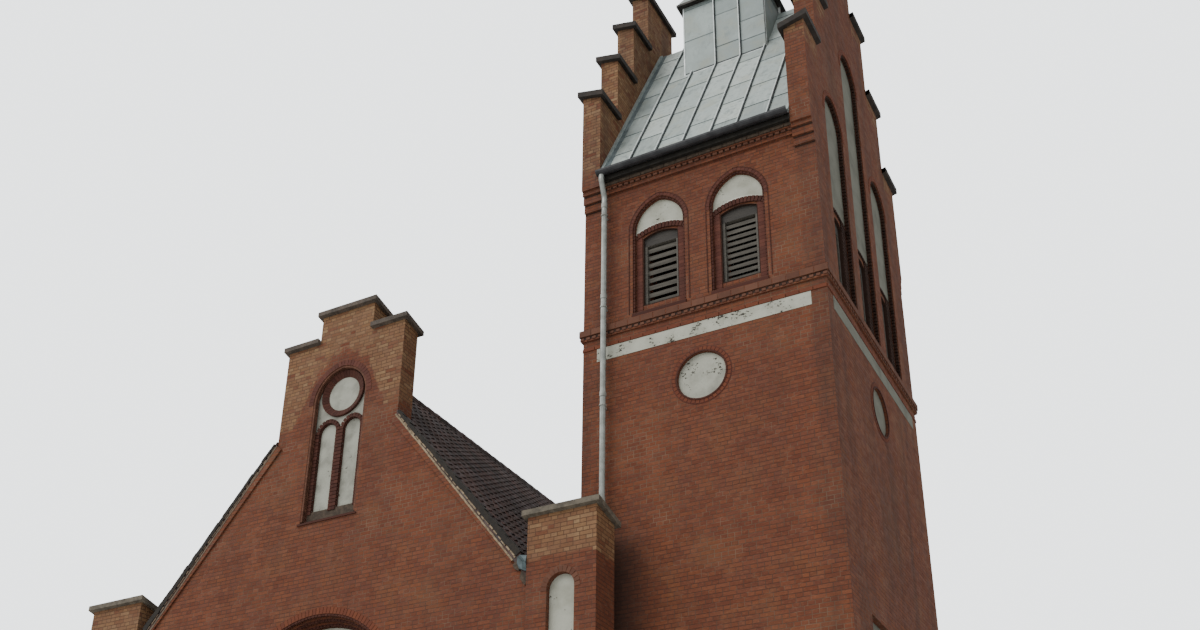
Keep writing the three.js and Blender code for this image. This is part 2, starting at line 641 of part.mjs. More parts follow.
// Slit louvres in the side walls, hung on one rail inside the wall
const turnToSide = (shape) => shape.rotate([0, 0, -90]);
const SLIT_SETBACK = LANCET.depth + LOUVRE_SETBACK;
const RAIL = { depth: 60, up: 16100, height: 120 };

function sideLouvres() {
  const railFront = TOWER_LEFT + TOWER_WALL + GAP;
  let group = box(
    railFront, railFront + RAIL.depth, TOWER_MIDDLE_Y + LANCETS[0].offset - SLIT.half,
    TOWER_MIDDLE_Y + LANCETS[2].offset + SLIT.half, RAIL.up, RAIL.up + RAIL.height,
  );
  for (const { offset } of LANCETS) {
    const panel = turnToSide(louvrePanel(0, SLIT, SLIT_SETBACK));
    group = group.add(panel.translate([TOWER_LEFT, TOWER_MIDDLE_Y + offset, 0]));
    const side = TOWER_MIDDLE_Y + offset - SLIT.half;
    const tongue = box(
      TOWER_LEFT + SLIT_SETBACK + LOUVRE_FRAME.depth - PAST, railFront + PAST,
      side + GAP, side + LOUVRE_FRAME.width, RAIL.up, RAIL.up + RAIL.height,
    );
    group = group.add(tongue);
  }
  return group;
}

addPiece('tower_left_louvres', sideLouvres(), louvreWood);
addPiece('tower_right_louvres', towerRightOf(sideLouvres()), louvreWood);

// Tower roof slopes between the gables
function towerRoof() {
  const ridgeY = TOWER_MIDDLE_Y - GAP / 2;
  const under = (y) => towerRoofTop(y) - TOWER_ROOF_THICKNESS;
  const outline = [
    [EAVE_Y, under(EAVE_Y)], [ridgeY, under(ridgeY)],
    [ridgeY, towerRoofTop(ridgeY)], [EAVE_Y, towerRoofTop(EAVE_Y)],
  ];
  return prismAlongX(outline, ROOF_LEFT, ROOF_RIGHT);
}

addPiece('tower_roof_front', towerRoof(), zinc);
addPiece('tower_roof_back', towerBackOf(towerRoof()), zinc);

// Gutter under the eave, with its downpipe, which in front runs down behind the nave's pier
const GUTTER = { radius: 95, wall: 12, drop: 20 };
const PIPE = { radius: 55, x: 5550, standOff: 150, foot: 150 };
const BEND = { drop: 120, run: 350, stiffness: 0.2 };

function gutterWithPipe() {
  const y = EAVE_Y - GUTTER.radius;
  const up = towerRoofTop(EAVE_Y) - GUTTER.drop;
  const trough = [];
  const sides = 8;
  for (let step = 0; step <= sides; step += 1) {
    const angle = Math.PI + (Math.PI * step) / sides;
    trough.push([y + GUTTER.radius * Math.cos(angle), up + GUTTER.radius * Math.sin(angle)]);
  }
  const inner = GUTTER.radius - GUTTER.wall;
  for (let step = sides; step >= 0; step -= 1) {
    const angle = Math.PI + (Math.PI * step) / sides;
    trough.push([y - GAP + inner * Math.cos(angle), up + inner * Math.sin(angle)]);
  }
  const pipeY = TOWER_FRONT - PIPE.standOff;
  const turn = up - GUTTER.radius - BEND.drop;
  const route = new THREE.CatmullRomCurve3([
    new THREE.Vector3(PIPE.x, y, up - GUTTER.radius + GUTTER.wall / 2),
    new THREE.Vector3(PIPE.x, y, turn),
    new THREE.Vector3(PIPE.x, pipeY, turn - BEND.run),
    new THREE.Vector3(PIPE.x, pipeY, turn - 2 * BEND.run),
  ], false, 'catmullrom', BEND.stiffness);
  const section = outlineShape(circleOutline(0, 0, PIPE.radius, 10));
  const alongRoute = { extrudePath: route, steps: 16, bevelEnabled: false };
  const bend = solid(new THREE.ExtrudeGeometry(section, alongRoute));
  const drop = turn - 2 * BEND.run + PAST - PIPE.foot;
  const pipe = new THREE.CylinderGeometry(PIPE.radius, PIPE.radius, drop, 10);
  pipe.rotateX(Math.PI / 2);
  pipe.translate(PIPE.x, pipeY, PIPE.foot + drop / 2);
  return prismAlongX(trough, ROOF_LEFT, ROOF_RIGHT).add(bend).add(solid(pipe));
}

addPiece('tower_front_gutter', gutterWithPipe(), darkGutter);
addPiece('tower_back_gutter', towerBackOf(gutterWithPipe()), darkGutter);

// Ridge turret: a square metal box that straddles the ridge, and its pyramid roof with a finial
const FINIAL = { collar: 60, collarHeight: 80, rod: 22, ball: 130, ballUp: 420, top: 900 };

function turretWalls() {
  const half = TURRET_WIDTH / 2;
  const inner = half - TURRET_WALL;
  const foot = towerRoofTop(TOWER_MIDDLE_Y - half) - PAST;
  const x = TOWER_MIDDLE_X;
  const y = TOWER_MIDDLE_Y;
  const reach = TURRET_WIDTH;
  const tent = prismAlongX([
    [y - reach, towerRoofTop(y - reach) + GAP], [y - reach, 0], [y + reach, 0],
    [y + reach, towerRoofTop(y + reach) + GAP], [y, TOWER_RIDGE + GAP],
  ].toReversed(), x - reach, x + reach);
  return box(x - half, x + half, y - half, y + half, foot, TURRET_TOP)
    .subtract(box(x - inner, x + inner, y - inner, y + inner, foot - PAST, TURRET_TOP + PAST))
    .subtract(tent);
}

function turretRoof() {
  const half = TURRET_WIDTH / 2 + TURRET_EAVE;
  const slabTop = TURRET_TOP + TURRET_ROOF_EDGE;
  const slab = box(
    TOWER_MIDDLE_X - half, TOWER_MIDDLE_X + half, TOWER_MIDDLE_Y - half, TOWER_MIDDLE_Y + half,
    TURRET_TOP + GAP, slabTop,
  );
  const height = TURRET_PEAK - slabTop + PAST;
  const corner = Math.SQRT2;
  const pyramid = new THREE.CylinderGeometry(FINIAL.collar * corner, half * corner, height, 4);
  pyramid.rotateX(Math.PI / 2);
  pyramid.rotateZ(Math.PI / 4);
  pyramid.translate(TOWER_MIDDLE_X, TOWER_MIDDLE_Y, TURRET_PEAK - height / 2);
  return slab.add(solid(pyramid));
}

function finial() {
  const profile = [
    [0, 0], [FINIAL.collar - GAP, 0], [FINIAL.rod, FINIAL.collarHeight],
    [FINIAL.rod, FINIAL.ballUp - FINIAL.ball + 2],
  ];
  const steps = 10;
  for (let step = 1; step < steps; step += 1) {
    const angle = -Math.PI / 2 + (Math.PI * step) / steps;
    profile.push([FINIAL.ball * Math.cos(angle), FINIAL.ballUp + FINIAL.ball * Math.sin(angle)]);
  }
  profile.push([FINIAL.rod, FINIAL.ballUp + FINIAL.ball], [FINIAL.rod / 2, FINIAL.top], [0, FINIAL.top]);
  const lathe = new THREE.LatheGeometry(profile.map(([out, up]) => new THREE.Vector2(out, up)), 16);
  lathe.rotateX(Math.PI / 2);
  lathe.translate(TOWER_MIDDLE_X, TOWER_MIDDLE_Y, TURRET_PEAK + GAP);
  return solid(lathe);
}

addPiece('turret_walls', turretWalls(), zinc);
addPiece('turret_roof', turretRoof(), zinc);
addPiece('turret_finial', finial(), darkGutter);

// The origin moves to the ground under the middle of the footprint.
const bounds = new THREE.Box3().setFromObject(church);
church.position.set(-(bounds.min.x + bounds.max.x) / 2, -(bounds.min.y + bounds.max.y) / 2, -bounds.min.z);

export default church;
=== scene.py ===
"""Brick church with a stepped-gable nave and a square belfry tower.

The script dresses the packed solids: brickwork, plaster, copings, pantiles, sheet metal, louvres,
windows and door. Sizes are in metres. The nave's axis and gable plane, and the tower's box, come from
the solids, so every piece stands where the solids stand.
"""

import math
import random

import bmesh
import bpy
from bpy.props import FloatProperty, FloatVectorProperty, PointerProperty
from mathutils import Matrix, Vector


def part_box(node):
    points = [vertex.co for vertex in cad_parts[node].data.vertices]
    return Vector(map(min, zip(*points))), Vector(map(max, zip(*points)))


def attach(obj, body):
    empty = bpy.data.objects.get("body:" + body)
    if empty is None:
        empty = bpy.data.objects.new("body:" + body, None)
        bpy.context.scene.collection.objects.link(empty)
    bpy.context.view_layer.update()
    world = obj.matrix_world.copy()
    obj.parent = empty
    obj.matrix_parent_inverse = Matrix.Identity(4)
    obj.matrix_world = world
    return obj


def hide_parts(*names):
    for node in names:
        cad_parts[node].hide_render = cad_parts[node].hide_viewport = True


bl_info = {
    "name": "Brick church",
    "version": (1, 0, 0),
    "blender": (4, 5, 0),
    "location": "3D Viewport > Sidebar > Church",
    "description": "Dresses a brick church with a stepped-gable nave and a belfry tower",
    "category": "Add Mesh",
}

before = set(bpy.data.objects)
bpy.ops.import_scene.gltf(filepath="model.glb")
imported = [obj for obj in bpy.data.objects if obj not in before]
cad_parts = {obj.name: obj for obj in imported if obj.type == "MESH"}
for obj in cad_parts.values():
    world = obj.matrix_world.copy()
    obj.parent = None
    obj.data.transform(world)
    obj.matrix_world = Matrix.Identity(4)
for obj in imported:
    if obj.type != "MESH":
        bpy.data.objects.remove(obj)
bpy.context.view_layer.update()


def middle(node):
    low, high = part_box(node)
    return (low + high) / 2


# Where things stand, read from the solids
NAVE_X = middle("nave_front_wall").x
GABLE_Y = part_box("nave_front_wall")[0].y
BACK_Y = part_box("nave_back_wall")[1].y
TOWER_X = middle("tower_front_wall").x
TOWER_Y = middle("tower_left_wall").y
TOWER_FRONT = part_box("tower_front_wall")[0].y
TOWER_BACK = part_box("tower_back_wall")[1].y

# The steps of the tower's side gables, from the lowest one up, and how far their copings stand out
COPING_OVERHANG = 0.085
STEP = {"count": 4, "first_top": 20.745, "rise": 1.654, "run": 0.776, "last_half": 0.667}


def step_half(step):
    return STEP["last_half"] + (STEP["count"] - 1 - step) * STEP["run"]


def step_top(step):
    return STEP["first_top"] + step * STEP["rise"]


def at_nave(across, back, up):
    """A point given from the nave's axis and the plane of its front gable."""
    return Vector((NAVE_X + across, GABLE_Y + back, up))


# Colours and node building


def tone(code):
    """A linear colour from an sRGB hex code."""
    value = [int(code[i : i + 2], 16) / 255 for i in (0, 2, 4)]
    return tuple(v / 12.92 if v <= 0.04045 else ((v + 0.055) / 1.055) ** 2.4 for v in value) + (1.0,)


class Wiring:
    """Adds nodes to a tree and links them in one line each."""

    def __init__(self, tree):
        self.tree = tree

    def add(self, kind, *values, **settings):
        node = self.tree.nodes.new(kind)
        for name, value in settings.items():
            setattr(node, name, value)
        for socket, value in zip(node.inputs, values):
            self.put(socket, value)
        return node

    def put(self, socket, value):
        if value is None:
            return
        if isinstance(value, bpy.types.NodeSocket):
            self.tree.links.new(value, socket)
        else:
            socket.default_value = value

    def math(self, operation, *values):
        return self.add("ShaderNodeMath", *values, operation=operation).outputs[0]

    def mix(self, factor, first, second, blend="MIX"):
        node = self.tree.nodes.new("ShaderNodeMix")
        node.data_type = "RGBA"
        node.blend_type = blend
        self.put(node.inputs["Factor"], factor)
        self.put(node.inputs[6], first)
        self.put(node.inputs[7], second)
        return node.outputs[2]

    def steps(self, value, low, high, first=0.0, last=1.0):
        """A smooth step from first to last as value goes from low to high."""
        node = self.add("ShaderNodeMapRange", value, low, high, first, last)
        node.interpolation_type = "SMOOTHSTEP"
        return node.outputs[0]

    def stain(self, colour, code, value, low, high, last=1.0, first=0.0):
        """The colour with another one over it, whose share goes from first to last."""
        return self.mix(self.steps(value, low, high, first, last), colour, tone(code))

    def noise(self, vector, scale, detail=3.0, roughness=0.55):
        node = self.tree.nodes.new("ShaderNodeTexNoise")
        self.put(node.inputs["Vector"], vector)
        node.inputs["Scale"].default_value = scale
        node.inputs["Detail"].default_value = detail
        node.inputs["Roughness"].default_value = roughness
        return node.outputs[0]

    def stretched(self, vector, scale):
        return self.add("ShaderNodeVectorMath", vector, scale, operation="MULTIPLY").outputs[0]

    def ramp(self, value, codes):
        """Evenly spaced colours, from the first at 0 to the last at 1."""
        node = self.tree.nodes.new("ShaderNodeValToRGB")
        self.put(node.inputs[0], value)
        elements = node.color_ramp.elements
        while len(elements) < len(codes):
            elements.new(0.5)
        for i, code in enumerate(codes):
            elements[i].position = i / (len(codes) - 1)
            elements[i].color = tone(code)
        return node.outputs[0]


def new_group(name, sockets, outputs):
    tree = bpy.data.node_groups.new(name, "ShaderNodeTree")
    for label, default in sockets:
        socket = tree.interface.new_socket(label, in_out="INPUT", socket_type="NodeSocketFloat")
        socket.default_value = default
    for label, kind in outputs:
        tree.interface.new_socket(label, in_out="OUTPUT", socket_type=kind)
    return tree, tree.nodes.new("NodeGroupInput"), tree.nodes.new("NodeGroupOutput")


def new_material(name, metallic=0.0):
    """A material with its shader, its wiring and the object coordinates."""
    material = bpy.data.materials.new(name)
    material.use_nodes = True
    tree = material.node_tree
    tree.nodes.clear()
    wiring = Wiring(tree)
    shader = wiring.add("ShaderNodeBsdfPrincipled")
    shader.inputs["Metallic"].default_value = metallic
    output = tree.nodes.new("ShaderNodeOutputMaterial")
    tree.links.new(shader.outputs[0], output.inputs[0])
    place = tree.nodes.new("ShaderNodeTexCoord").outputs["Object"]
    return material, wiring, shader, place


def finish_material(wiring, shader, colour, roughness, height=None, depth=0.01, strength=0.6):
    wiring.put(shader.inputs["Base Color"], colour)
    wiring.put(shader.inputs["Roughness"], roughness)
    if height is not None:
        bump = wiring.add("ShaderNodeBump")
        bump.inputs["Strength"].default_value = strength
        bump.inputs["Distance"].default_value = depth
        wiring.put(bump.inputs["Height"], height)
        wiring.put(shader.inputs["Normal"], bump.outputs[0])


REDS = ("633829", "6b3d2b", "71412d", "78462f", "6d3e2b", "663a2a")
YELLOWS = ("826147", "90704f", "78573e", "977a59", "7d5a40", "88684a")


def brickwork_group(settings):
    """Courses of headers and stretchers: one random value for each brick, the joints, and the colours."""
    sockets = [("Yellow", 0.0), ("Soot", 0.0), ("Damp", 0.0)]
    outputs = [("Color", "NodeSocketColor"), ("Height", "NodeSocketFloat"), ("Chance", "NodeSocketFloat")]
    tree, given, result = new_group("brickwork", sockets, outputs)
    wiring = Wiring(tree)
    calc = wiring.math

    def choose(switch, first, second):
        """The first value where the switch is 0, the second where it is 1."""
        rest = calc("SUBTRACT", 1.0, switch)
        return calc("ADD", calc("MULTIPLY", first, rest), calc("MULTIPLY", second, switch))

    def to_edge(share, size):
        """How far it is to the nearer edge of a brick, from the share of its size that lies behind."""
        return calc("MULTIPLY", calc("MINIMUM", share, calc("SUBTRACT", 1.0, share)), size)

    # which brick this is, and how far its nearest joint
    place = tree.nodes.new("ShaderNodeTexCoord").outputs["Object"]
    x, y, z = wiring.add("ShaderNodeSeparateXYZ", place).outputs
    normal = tree.nodes.new("ShaderNodeNewGeometry").outputs["True Normal"]
    nx, ny, nz = (calc("ABSOLUTE", part) for part in wiring.add("ShaderNodeSeparateXYZ", normal).outputs)
    sideways = calc("GREATER_THAN", nx, ny)
    along = choose(sideways, x, y)
    course = calc("DIVIDE", choose(calc("GREATER_THAN", nz, 0.8), z, y), settings.course)
    row = calc("FLOOR", course)
    header = calc("FLOORED_MODULO", row, 2.0)
    length = calc("SUBTRACT", settings.length, calc("MULTIPLY", header, settings.length / 2))
    shift = calc("MULTIPLY", calc("FLOORED_MODULO", calc("FLOOR", calc("DIVIDE", row, 2.0)), 2.0), 0.5)
    place_in_row = calc("ADD", calc("DIVIDE", along, length), shift)
    brick = calc("FLOOR", place_in_row)
    edge_across = to_edge(calc("SUBTRACT", place_in_row, brick), length)
    edge_up = to_edge(calc("SUBTRACT", course, row), settings.course)
    ragged = calc("MULTIPLY", calc("SUBTRACT", wiring.noise(place, 60.0, 2.0), 0.5), 0.006)
    edge = calc("ADD", calc("MINIMUM", edge_across, edge_up), ragged)
    face = wiring.steps(edge, settings.joint / 2 - 0.0015, settings.joint / 2 + 0.0025)
    key = wiring.add("ShaderNodeCombineXYZ", brick, row, sideways).outputs[0]
    chance = wiring.add("ShaderNodeTexWhiteNoise", key, noise_dimensions="3D")
    first, second, third = wiring.add("ShaderNodeSeparateColor", chance.outputs["Color"]).outputs

    # red or yellow
    share = given.outputs["Yellow"]
    spread = calc("MULTIPLY", share, calc("SUBTRACT", 1.0, share))
    width = calc("ADD", calc("MULTIPLY", spread, 1.6), 0.002)
    is_yellow = wiring.steps(second, calc("SUBTRACT", share, width), calc("ADD", share, width), 1.0, 0.0)
    is_yellow = calc("MULTIPLY", is_yellow, calc("GREATER_THAN", share, 0.02))
    colour = wiring.mix(is_yellow, wiring.ramp(first, REDS), wiring.ramp(first, YELLOWS))

    # slow changes over the wall, and finer ones over each brick
    grit = wiring.noise(place, 140.0, 2.0)
    grain = wiring.noise(wiring.stretched(place, (14.0, 14.0, 34.0)), 1.0, 3.0, 0.7)
    colour = wiring.stain(colour, "5b342a", wiring.noise(place, 0.35, 4.0), 0.35, 0.7, 0.32)
    colour = wiring.stain(colour, "765036", wiring.noise(place, 1.7, 4.0), 0.46, 0.7, 0.4)
    colour = wiring.stain(colour, "4f2f24", grit, 0.3, 0.8, 0.35)
    colour = wiring.stain(colour, "8a5a40", grain, 0.5, 0.75, 0.4)
    colour = wiring.stain(colour, "552f25", grain, 0.25, 0.5, 0.0, 0.4)

    # mortar: paler in the upright joints and in patches, browner among yellow bricks; the bed joints darker
    # as painted shade under each course
    fresh = wiring.noise(place, 4.5, 3.0)
    head_joint = wiring.stain(tone("543a2e"), "6c4e3e", fresh, 0.45, 0.65)
    bed_joint = wiring.stain(tone("4c3228"), "6e5040", fresh, 0.5, 0.7)
    mortar = wiring.mix(calc("LESS_THAN", edge_up, edge_across), head_joint, bed_joint)
    mortar = wiring.stain(mortar, "856e58", wiring.noise(place, 0.6, 2.0), 0.5, 0.68, 0.42)
    mortar = wiring.mix(calc("MULTIPLY", is_yellow, 0.6), mortar, tone("5c4532"))
    colour = wiring.mix(face, mortar, colour)

    # Sooty streaks darken the brick toward dark brown; on the tower's side walls they are set stronger,
    # painted shade on those shaded faces as well as dirt
    streaks = wiring.noise(wiring.stretched(place, (2.2, 2.2, 0.25)), 1.0, 4.0)
    soot = calc("MULTIPLY", wiring.steps(streaks, 0.4, 0.7), given.outputs["Soot"])
    # The wet patch, partly painted shade from the pier and the nave, darkens the brick toward the same dark
    # brown
    colour = wiring.mix(calc("MAXIMUM", soot, given.outputs["Damp"]), colour, tone("3a2c28"))
    wiring.put(result.inputs["Color"], colour)
    tilt = calc("ADD", 0.75, calc("MULTIPLY", third, 0.25))
    height = calc("ADD", calc("MULTIPLY", face, tilt), calc("MULTIPLY", grit, 0.12))
    wiring.put(result.inputs["Height"], height)
    wiring.put(result.inputs["Chance"], third)
    return tree


def brick_material(name, group, yellow=None, damp=None, soot=0.15):
    """Brickwork whose yellow bricks and damp come where their functions say, from 0 to 1."""
    material, wiring, shader, place = new_material(name)
    x, y, z = wiring.add("ShaderNodeSeparateXYZ", place).outputs
    node = wiring.add("ShaderNodeGroup", node_tree=group)
    node.inputs["Soot"].default_value = soot
    if yellow is not None:
        wiring.put(node.inputs["Yellow"], yellow(wiring, x, y, z))
    if damp is not None:
        wiring.put(node.inputs["Damp"], damp(wiring, x, y, z))
    rough = wiring.math("ADD", 0.78, wiring.math("MULTIPLY", node.outputs["Chance"], 0.18))
    shader.inputs["Specular IOR Level"].default_value = 0.2
    finish_material(wiring, shader, node.outputs["Color"], rough, node.outputs["Height"], 0.006, 0.7)
    return material


# Where yellow bricks begin on the gable: two lines, each with its height on the axis and its fall for
# each metre across, and the lowest height for both
YELLOW_LINES = ((15.70, 0.8), (16.63, 2.3))
LOWEST_YELLOW = 14.0


def gable_yellow(wiring, x, y, z):
    """Yellow bricks above the roof line, outside a pointed field of red round the niche."""
    calc = wiring.math
    across = calc("ABSOLUTE", calc("SUBTRACT", x, NAVE_X))
    lines = [calc("SUBTRACT", top, calc("MULTIPLY", across, fall)) for top, fall in YELLOW_LINES]
    low = calc("MAXIMUM", calc("MINIMUM", *lines), LOWEST_YELLOW)
    return wiring.steps(calc("SUBTRACT", z, low), -0.12, 0.14, 0.0, 0.93)


def pier_yellow(wiring, x, y, z):
    """Yellow bricks under the pier's coping."""
    return wiring.steps(z, 9.88, 10.12, 0.0, 0.95)


def nave_side_damp(wiring, x, y, z):
    """A dark patch low on the tower's front, in the corner behind the nave's right pier."""
    beside = wiring.steps(x, TOWER_X - 1.75, TOWER_X - 0.75, 0.75, 0.0)
    return wiring.math("MULTIPLY", beside, wiring.steps(z, 9.9, 11.5, 1.0, 0.0))


def step_yellow(wiring, x, y, z):
    """Yellow bricks under each coping of the tower's stepped gables, and mixed into the left one's ends."""
    calc = wiring.math
    inward = calc("SUBTRACT", step_half(0) + 0.01, calc("ABSOLUTE", calc("SUBTRACT", y, TOWER_Y)))
    step = calc("MAXIMUM", calc("FLOOR", calc("DIVIDE", inward, STEP["run"])), 0.0)
    step = calc("MINIMUM", step, STEP["count"] - 1.0)
    top = calc("ADD", STEP["first_top"], calc("MULTIPLY", step, STEP["rise"]))
    under = wiring.steps(calc("SUBTRACT", top, z), 0.2, 0.6, 0.8, 0.0)
    normal = wiring.add("ShaderNodeNewGeometry").outputs["True Normal"]
    right, back, _ = wiring.add("ShaderNodeSeparateXYZ", normal).outputs
    lengthwise = calc("GREATER_THAN", calc("ABSOLUTE", back), 0.5)
    facing = calc("MAXIMUM", lengthwise, calc("GREATER_THAN", right, 0.5))
    left_end = calc("MULTIPLY", facing, calc("LESS_THAN", x, TOWER_X))
    return calc("MAXIMUM", under, calc("MULTIPLY", left_end, wiring.steps(z, 18.4, 18.9, 0.0, 0.88)))


def plaster_material(name, base, spots, shade="3f3a33", stain="8f8e80", size=4.0):
    """Lime plaster with dark patches where it has peeled. spots is the noise level at which they begin."""
    material, wiring, shader, place = new_material(name)
    fine = wiring.noise(place, 30.0, 3.0)
    colour = wiring.stain(tone(base), stain, wiring.noise(place, 2.5, 5.0), 0.35, 0.8)
    colour = wiring.stain(colour, stain, fine, 0.4, 0.9, 0.25)
    group = wiring.noise(place, size / 4, 2.0)
    mark = wiring.noise(wiring.stretched(place, (1.0, 1.0, 1.4)), 2 * size, 3.0, 0.6)
    level = wiring.math("ADD", mark, wiring.math("MULTIPLY", wiring.math("SUBTRACT", group, 0.5), 0.9))
    peeled = wiring.steps(level, spots, spots + 0.03)
    colour = wiring.mix(peeled, colour, tone(shade))
    height = wiring.math("SUBTRACT", wiring.math("MULTIPLY", fine, 0.3), peeled)
    finish_material(wiring, shader, colour, 0.88, height, 0.006, 0.7)
    return material


def stone_material(name, light, dark, scale=6.0, speck="8b8474"):
    """Weathered concrete or mortar with stains."""
    material, wiring, shader, place = new_material(name)
    stain = wiring.noise(place, scale, 5.0)
    grain = wiring.noise(place, 90.0, 3.0)
    colour = wiring.stain(tone(light), dark, stain, 0.35, 0.65)
    colour = wiring.stain(colour, speck, grain, 0.45, 0.8, 0.4)
    finish_material(wiring, shader, colour, 0.9, wiring.math("ADD", grain, stain), 0.006, 0.6)
    return material


def zinc_material():
    """Sheet zinc, dulled and streaked down the slope."""
    material, wiring, shader, place = new_material("weathered zinc", metallic=0.35)
    streak = wiring.noise(wiring.stretched(place, (9.0, 1.0, 0.8)), 1.0, 5.0)
    cloud = wiring.noise(place, 1.3, 4.0)
    colour = wiring.stain(tone("b4bdb9"), "949e9b", streak, 0.35, 0.7)
    colour = wiring.stain(colour, "a9aea2", cloud, 0.45, 0.75, 0.5)
    finish_material(wiring, shader, colour, wiring.steps(cloud, 0.2, 0.8, 0.42, 0.6), cloud, 0.01, 0.2)
    return material


def metal_material(name, light, dark, metallic=0.4, roughness=0.5):
    """Dull sheet or cast metal with stains."""
    material, wiring, shader, place = new_material(name, metallic)
    stain = wiring.noise(place, 5.0, 5.0)
    rough = wiring.steps(stain, 0.2, 0.8, roughness, roughness + 0.2)
    colour = wiring.stain(tone(light), dark, stain, 0.3, 0.7)
    finish_material(wiring, shader, colour, rough, stain, 0.004, 0.2)
    return material


def tile_material():
    """Fired clay pantiles, dark, with lichen and a colour of its own for each tile."""
    material, wiring, shader, place = new_material("dark pantiles")
    _, y, z = wiring.add("ShaderNodeSeparateXYZ", place).outputs
    along = wiring.math("FLOOR", wiring.math("DIVIDE", y, 0.22))
    up = wiring.math("FLOOR", wiring.math("DIVIDE", z, 0.26))
    cell = wiring.add("ShaderNodeCombineXYZ", along, up, 0.0).outputs[0]
    chance = wiring.add("ShaderNodeTexWhiteNoise", cell, noise_dimensions="3D").outputs["Value"]
    moss = wiring.noise(place, 3.0, 5.0)
    burnt = wiring.ramp(chance, ("281816", "36211c", "452a23"))
    colour = wiring.stain(burnt, "3c3a30", moss, 0.5, 0.75, 0.6)
    rough = wiring.steps(moss, 0.3, 0.7, 0.55, 0.85)
    finish_material(wiring, shader, colour, rough, wiring.noise(place, 60.0, 3.0), 0.003, 0.5)
    return material


def wood_material(name, light, dark, grain_along):
    """Weathered timber with its grain along one axis, given as a scale for each axis."""
    material, wiring, shader, place = new_material(name)
    grain = wiring.noise(wiring.stretched(place, grain_along), 1.0, 5.0, 0.65)
    colour = wiring.stain(tone(light), dark, grain, 0.3, 0.7)
    colour = wiring.stain(colour, "3b352f", wiring.noise(place, 3.0, 3.0), 0.5, 0.8, 0.4)
    finish_material(wiring, shader, colour, 0.8, grain, 0.004, 0.6)
    return material


def glass_material():
    """Dark window glass, a little uneven."""
    material, wiring, shader, place = new_material("window glass")
    wave = wiring.noise(place, 2.2, 2.0)
    colour = wiring.stain(tone("1d2428"), "38444a", wave, 0.3, 0.7)
    finish_material(wiring, shader, colour, wiring.steps(wave, 0.2, 0.8, 0.06, 0.16), wave, 0.01, 0.15)
    return material


def floor_material(colour):
    material, wiring, shader, place = new_material("pale floor")
    colour = wiring.stain(colour, "d2d2ce", wiring.noise(place, 0.2, 2.0), 0.2, 0.8)
    finish_material(wiring, shader, colour, 0.9)
    return material


def block_material(name, codes, mortar="6b4a38"):
    """Single bricks, each with its own tone from its chance value."""
    material, wiring, shader, place = new_material(name)
    chance = wiring.add("ShaderNodeAttribute", attribute_name="chance").outputs["Fac"]
    grit = wiring.noise(place, 120.0, 2.0)
    worn = wiring.noise(place, 3.0, 4.0)
    colour = wiring.stain(wiring.ramp(chance, codes), "3f2b26", worn, 0.45, 0.75, 0.4)
    colour = wiring.stain(colour, mortar, grit, 0.5, 0.85, 0.35)
    shader.inputs["Specular IOR Level"].default_value = 0.2
    finish_material(wiring, shader, colour, 0.85, grit, 0.004, 0.6)
    return material


def sheet_material(name, codes, streaked=0.35):
    """Zinc sheets that differ a little in tone from sheet to sheet, stained and faintly dented."""
    material, wiring, shader, place = new_material(name, metallic=0.3)
    chance = wiring.add("ShaderNodeAttribute", attribute_name="chance").outputs["Fac"]
    stain = wiring.noise(place, 2.0, 5.0)
    streak = wiring.noise(wiring.stretched(place, (14.0, 1.2, 1.2)), 1.0, 4.0)
    smudge = wiring.noise(wiring.stretched(place, (1.0, 1.0, 0.6)), 4.5, 5.0, 0.7)
    colour = wiring.stain(wiring.ramp(chance, codes), "9c9c8a", stain, 0.45, 0.75, 0.5)
    colour = wiring.stain(colour, "7a8483", wiring.noise(place, 11.0, 4.0), 0.52, 0.72, 0.6)
    colour = wiring.stain(colour, "c3c9c4", streak, 0.5, 0.75, streaked)
    colour = wiring.stain(colour, "707a79", smudge, 0.53, 0.68, 0.6)
    rough = wiring.steps(stain, 0.2, 0.8, 0.45, 0.62)
    finish_material(wiring, shader, colour, rough, wiring.noise(place, 3.5, 2.0), 0.03, 0.35)
    return material


def drain_material(high):
    """Dark gutter above the given height, grey pipe below it."""
    material, wiring, shader, place = new_material("gutter and pipe metal", 0.3)
    up = wiring.add("ShaderNodeSeparateXYZ", place).outputs[2]
    stain = wiring.noise(place, 5.0, 5.0)
    dark = wiring.stain(tone("3b3b3e"), "28282b", stain, 0.3, 0.7)
    grey = wiring.stain(tone("9fa29d"), "848782", stain, 0.3, 0.7)
    colour = wiring.mix(wiring.math("GREATER_THAN", up, high), grey, dark)
    finish_material(wiring, shader, colour, wiring.steps(stain, 0.2, 0.8, 0.4, 0.6), stain, 0.004, 0.2)
    return material


FINISH = {}


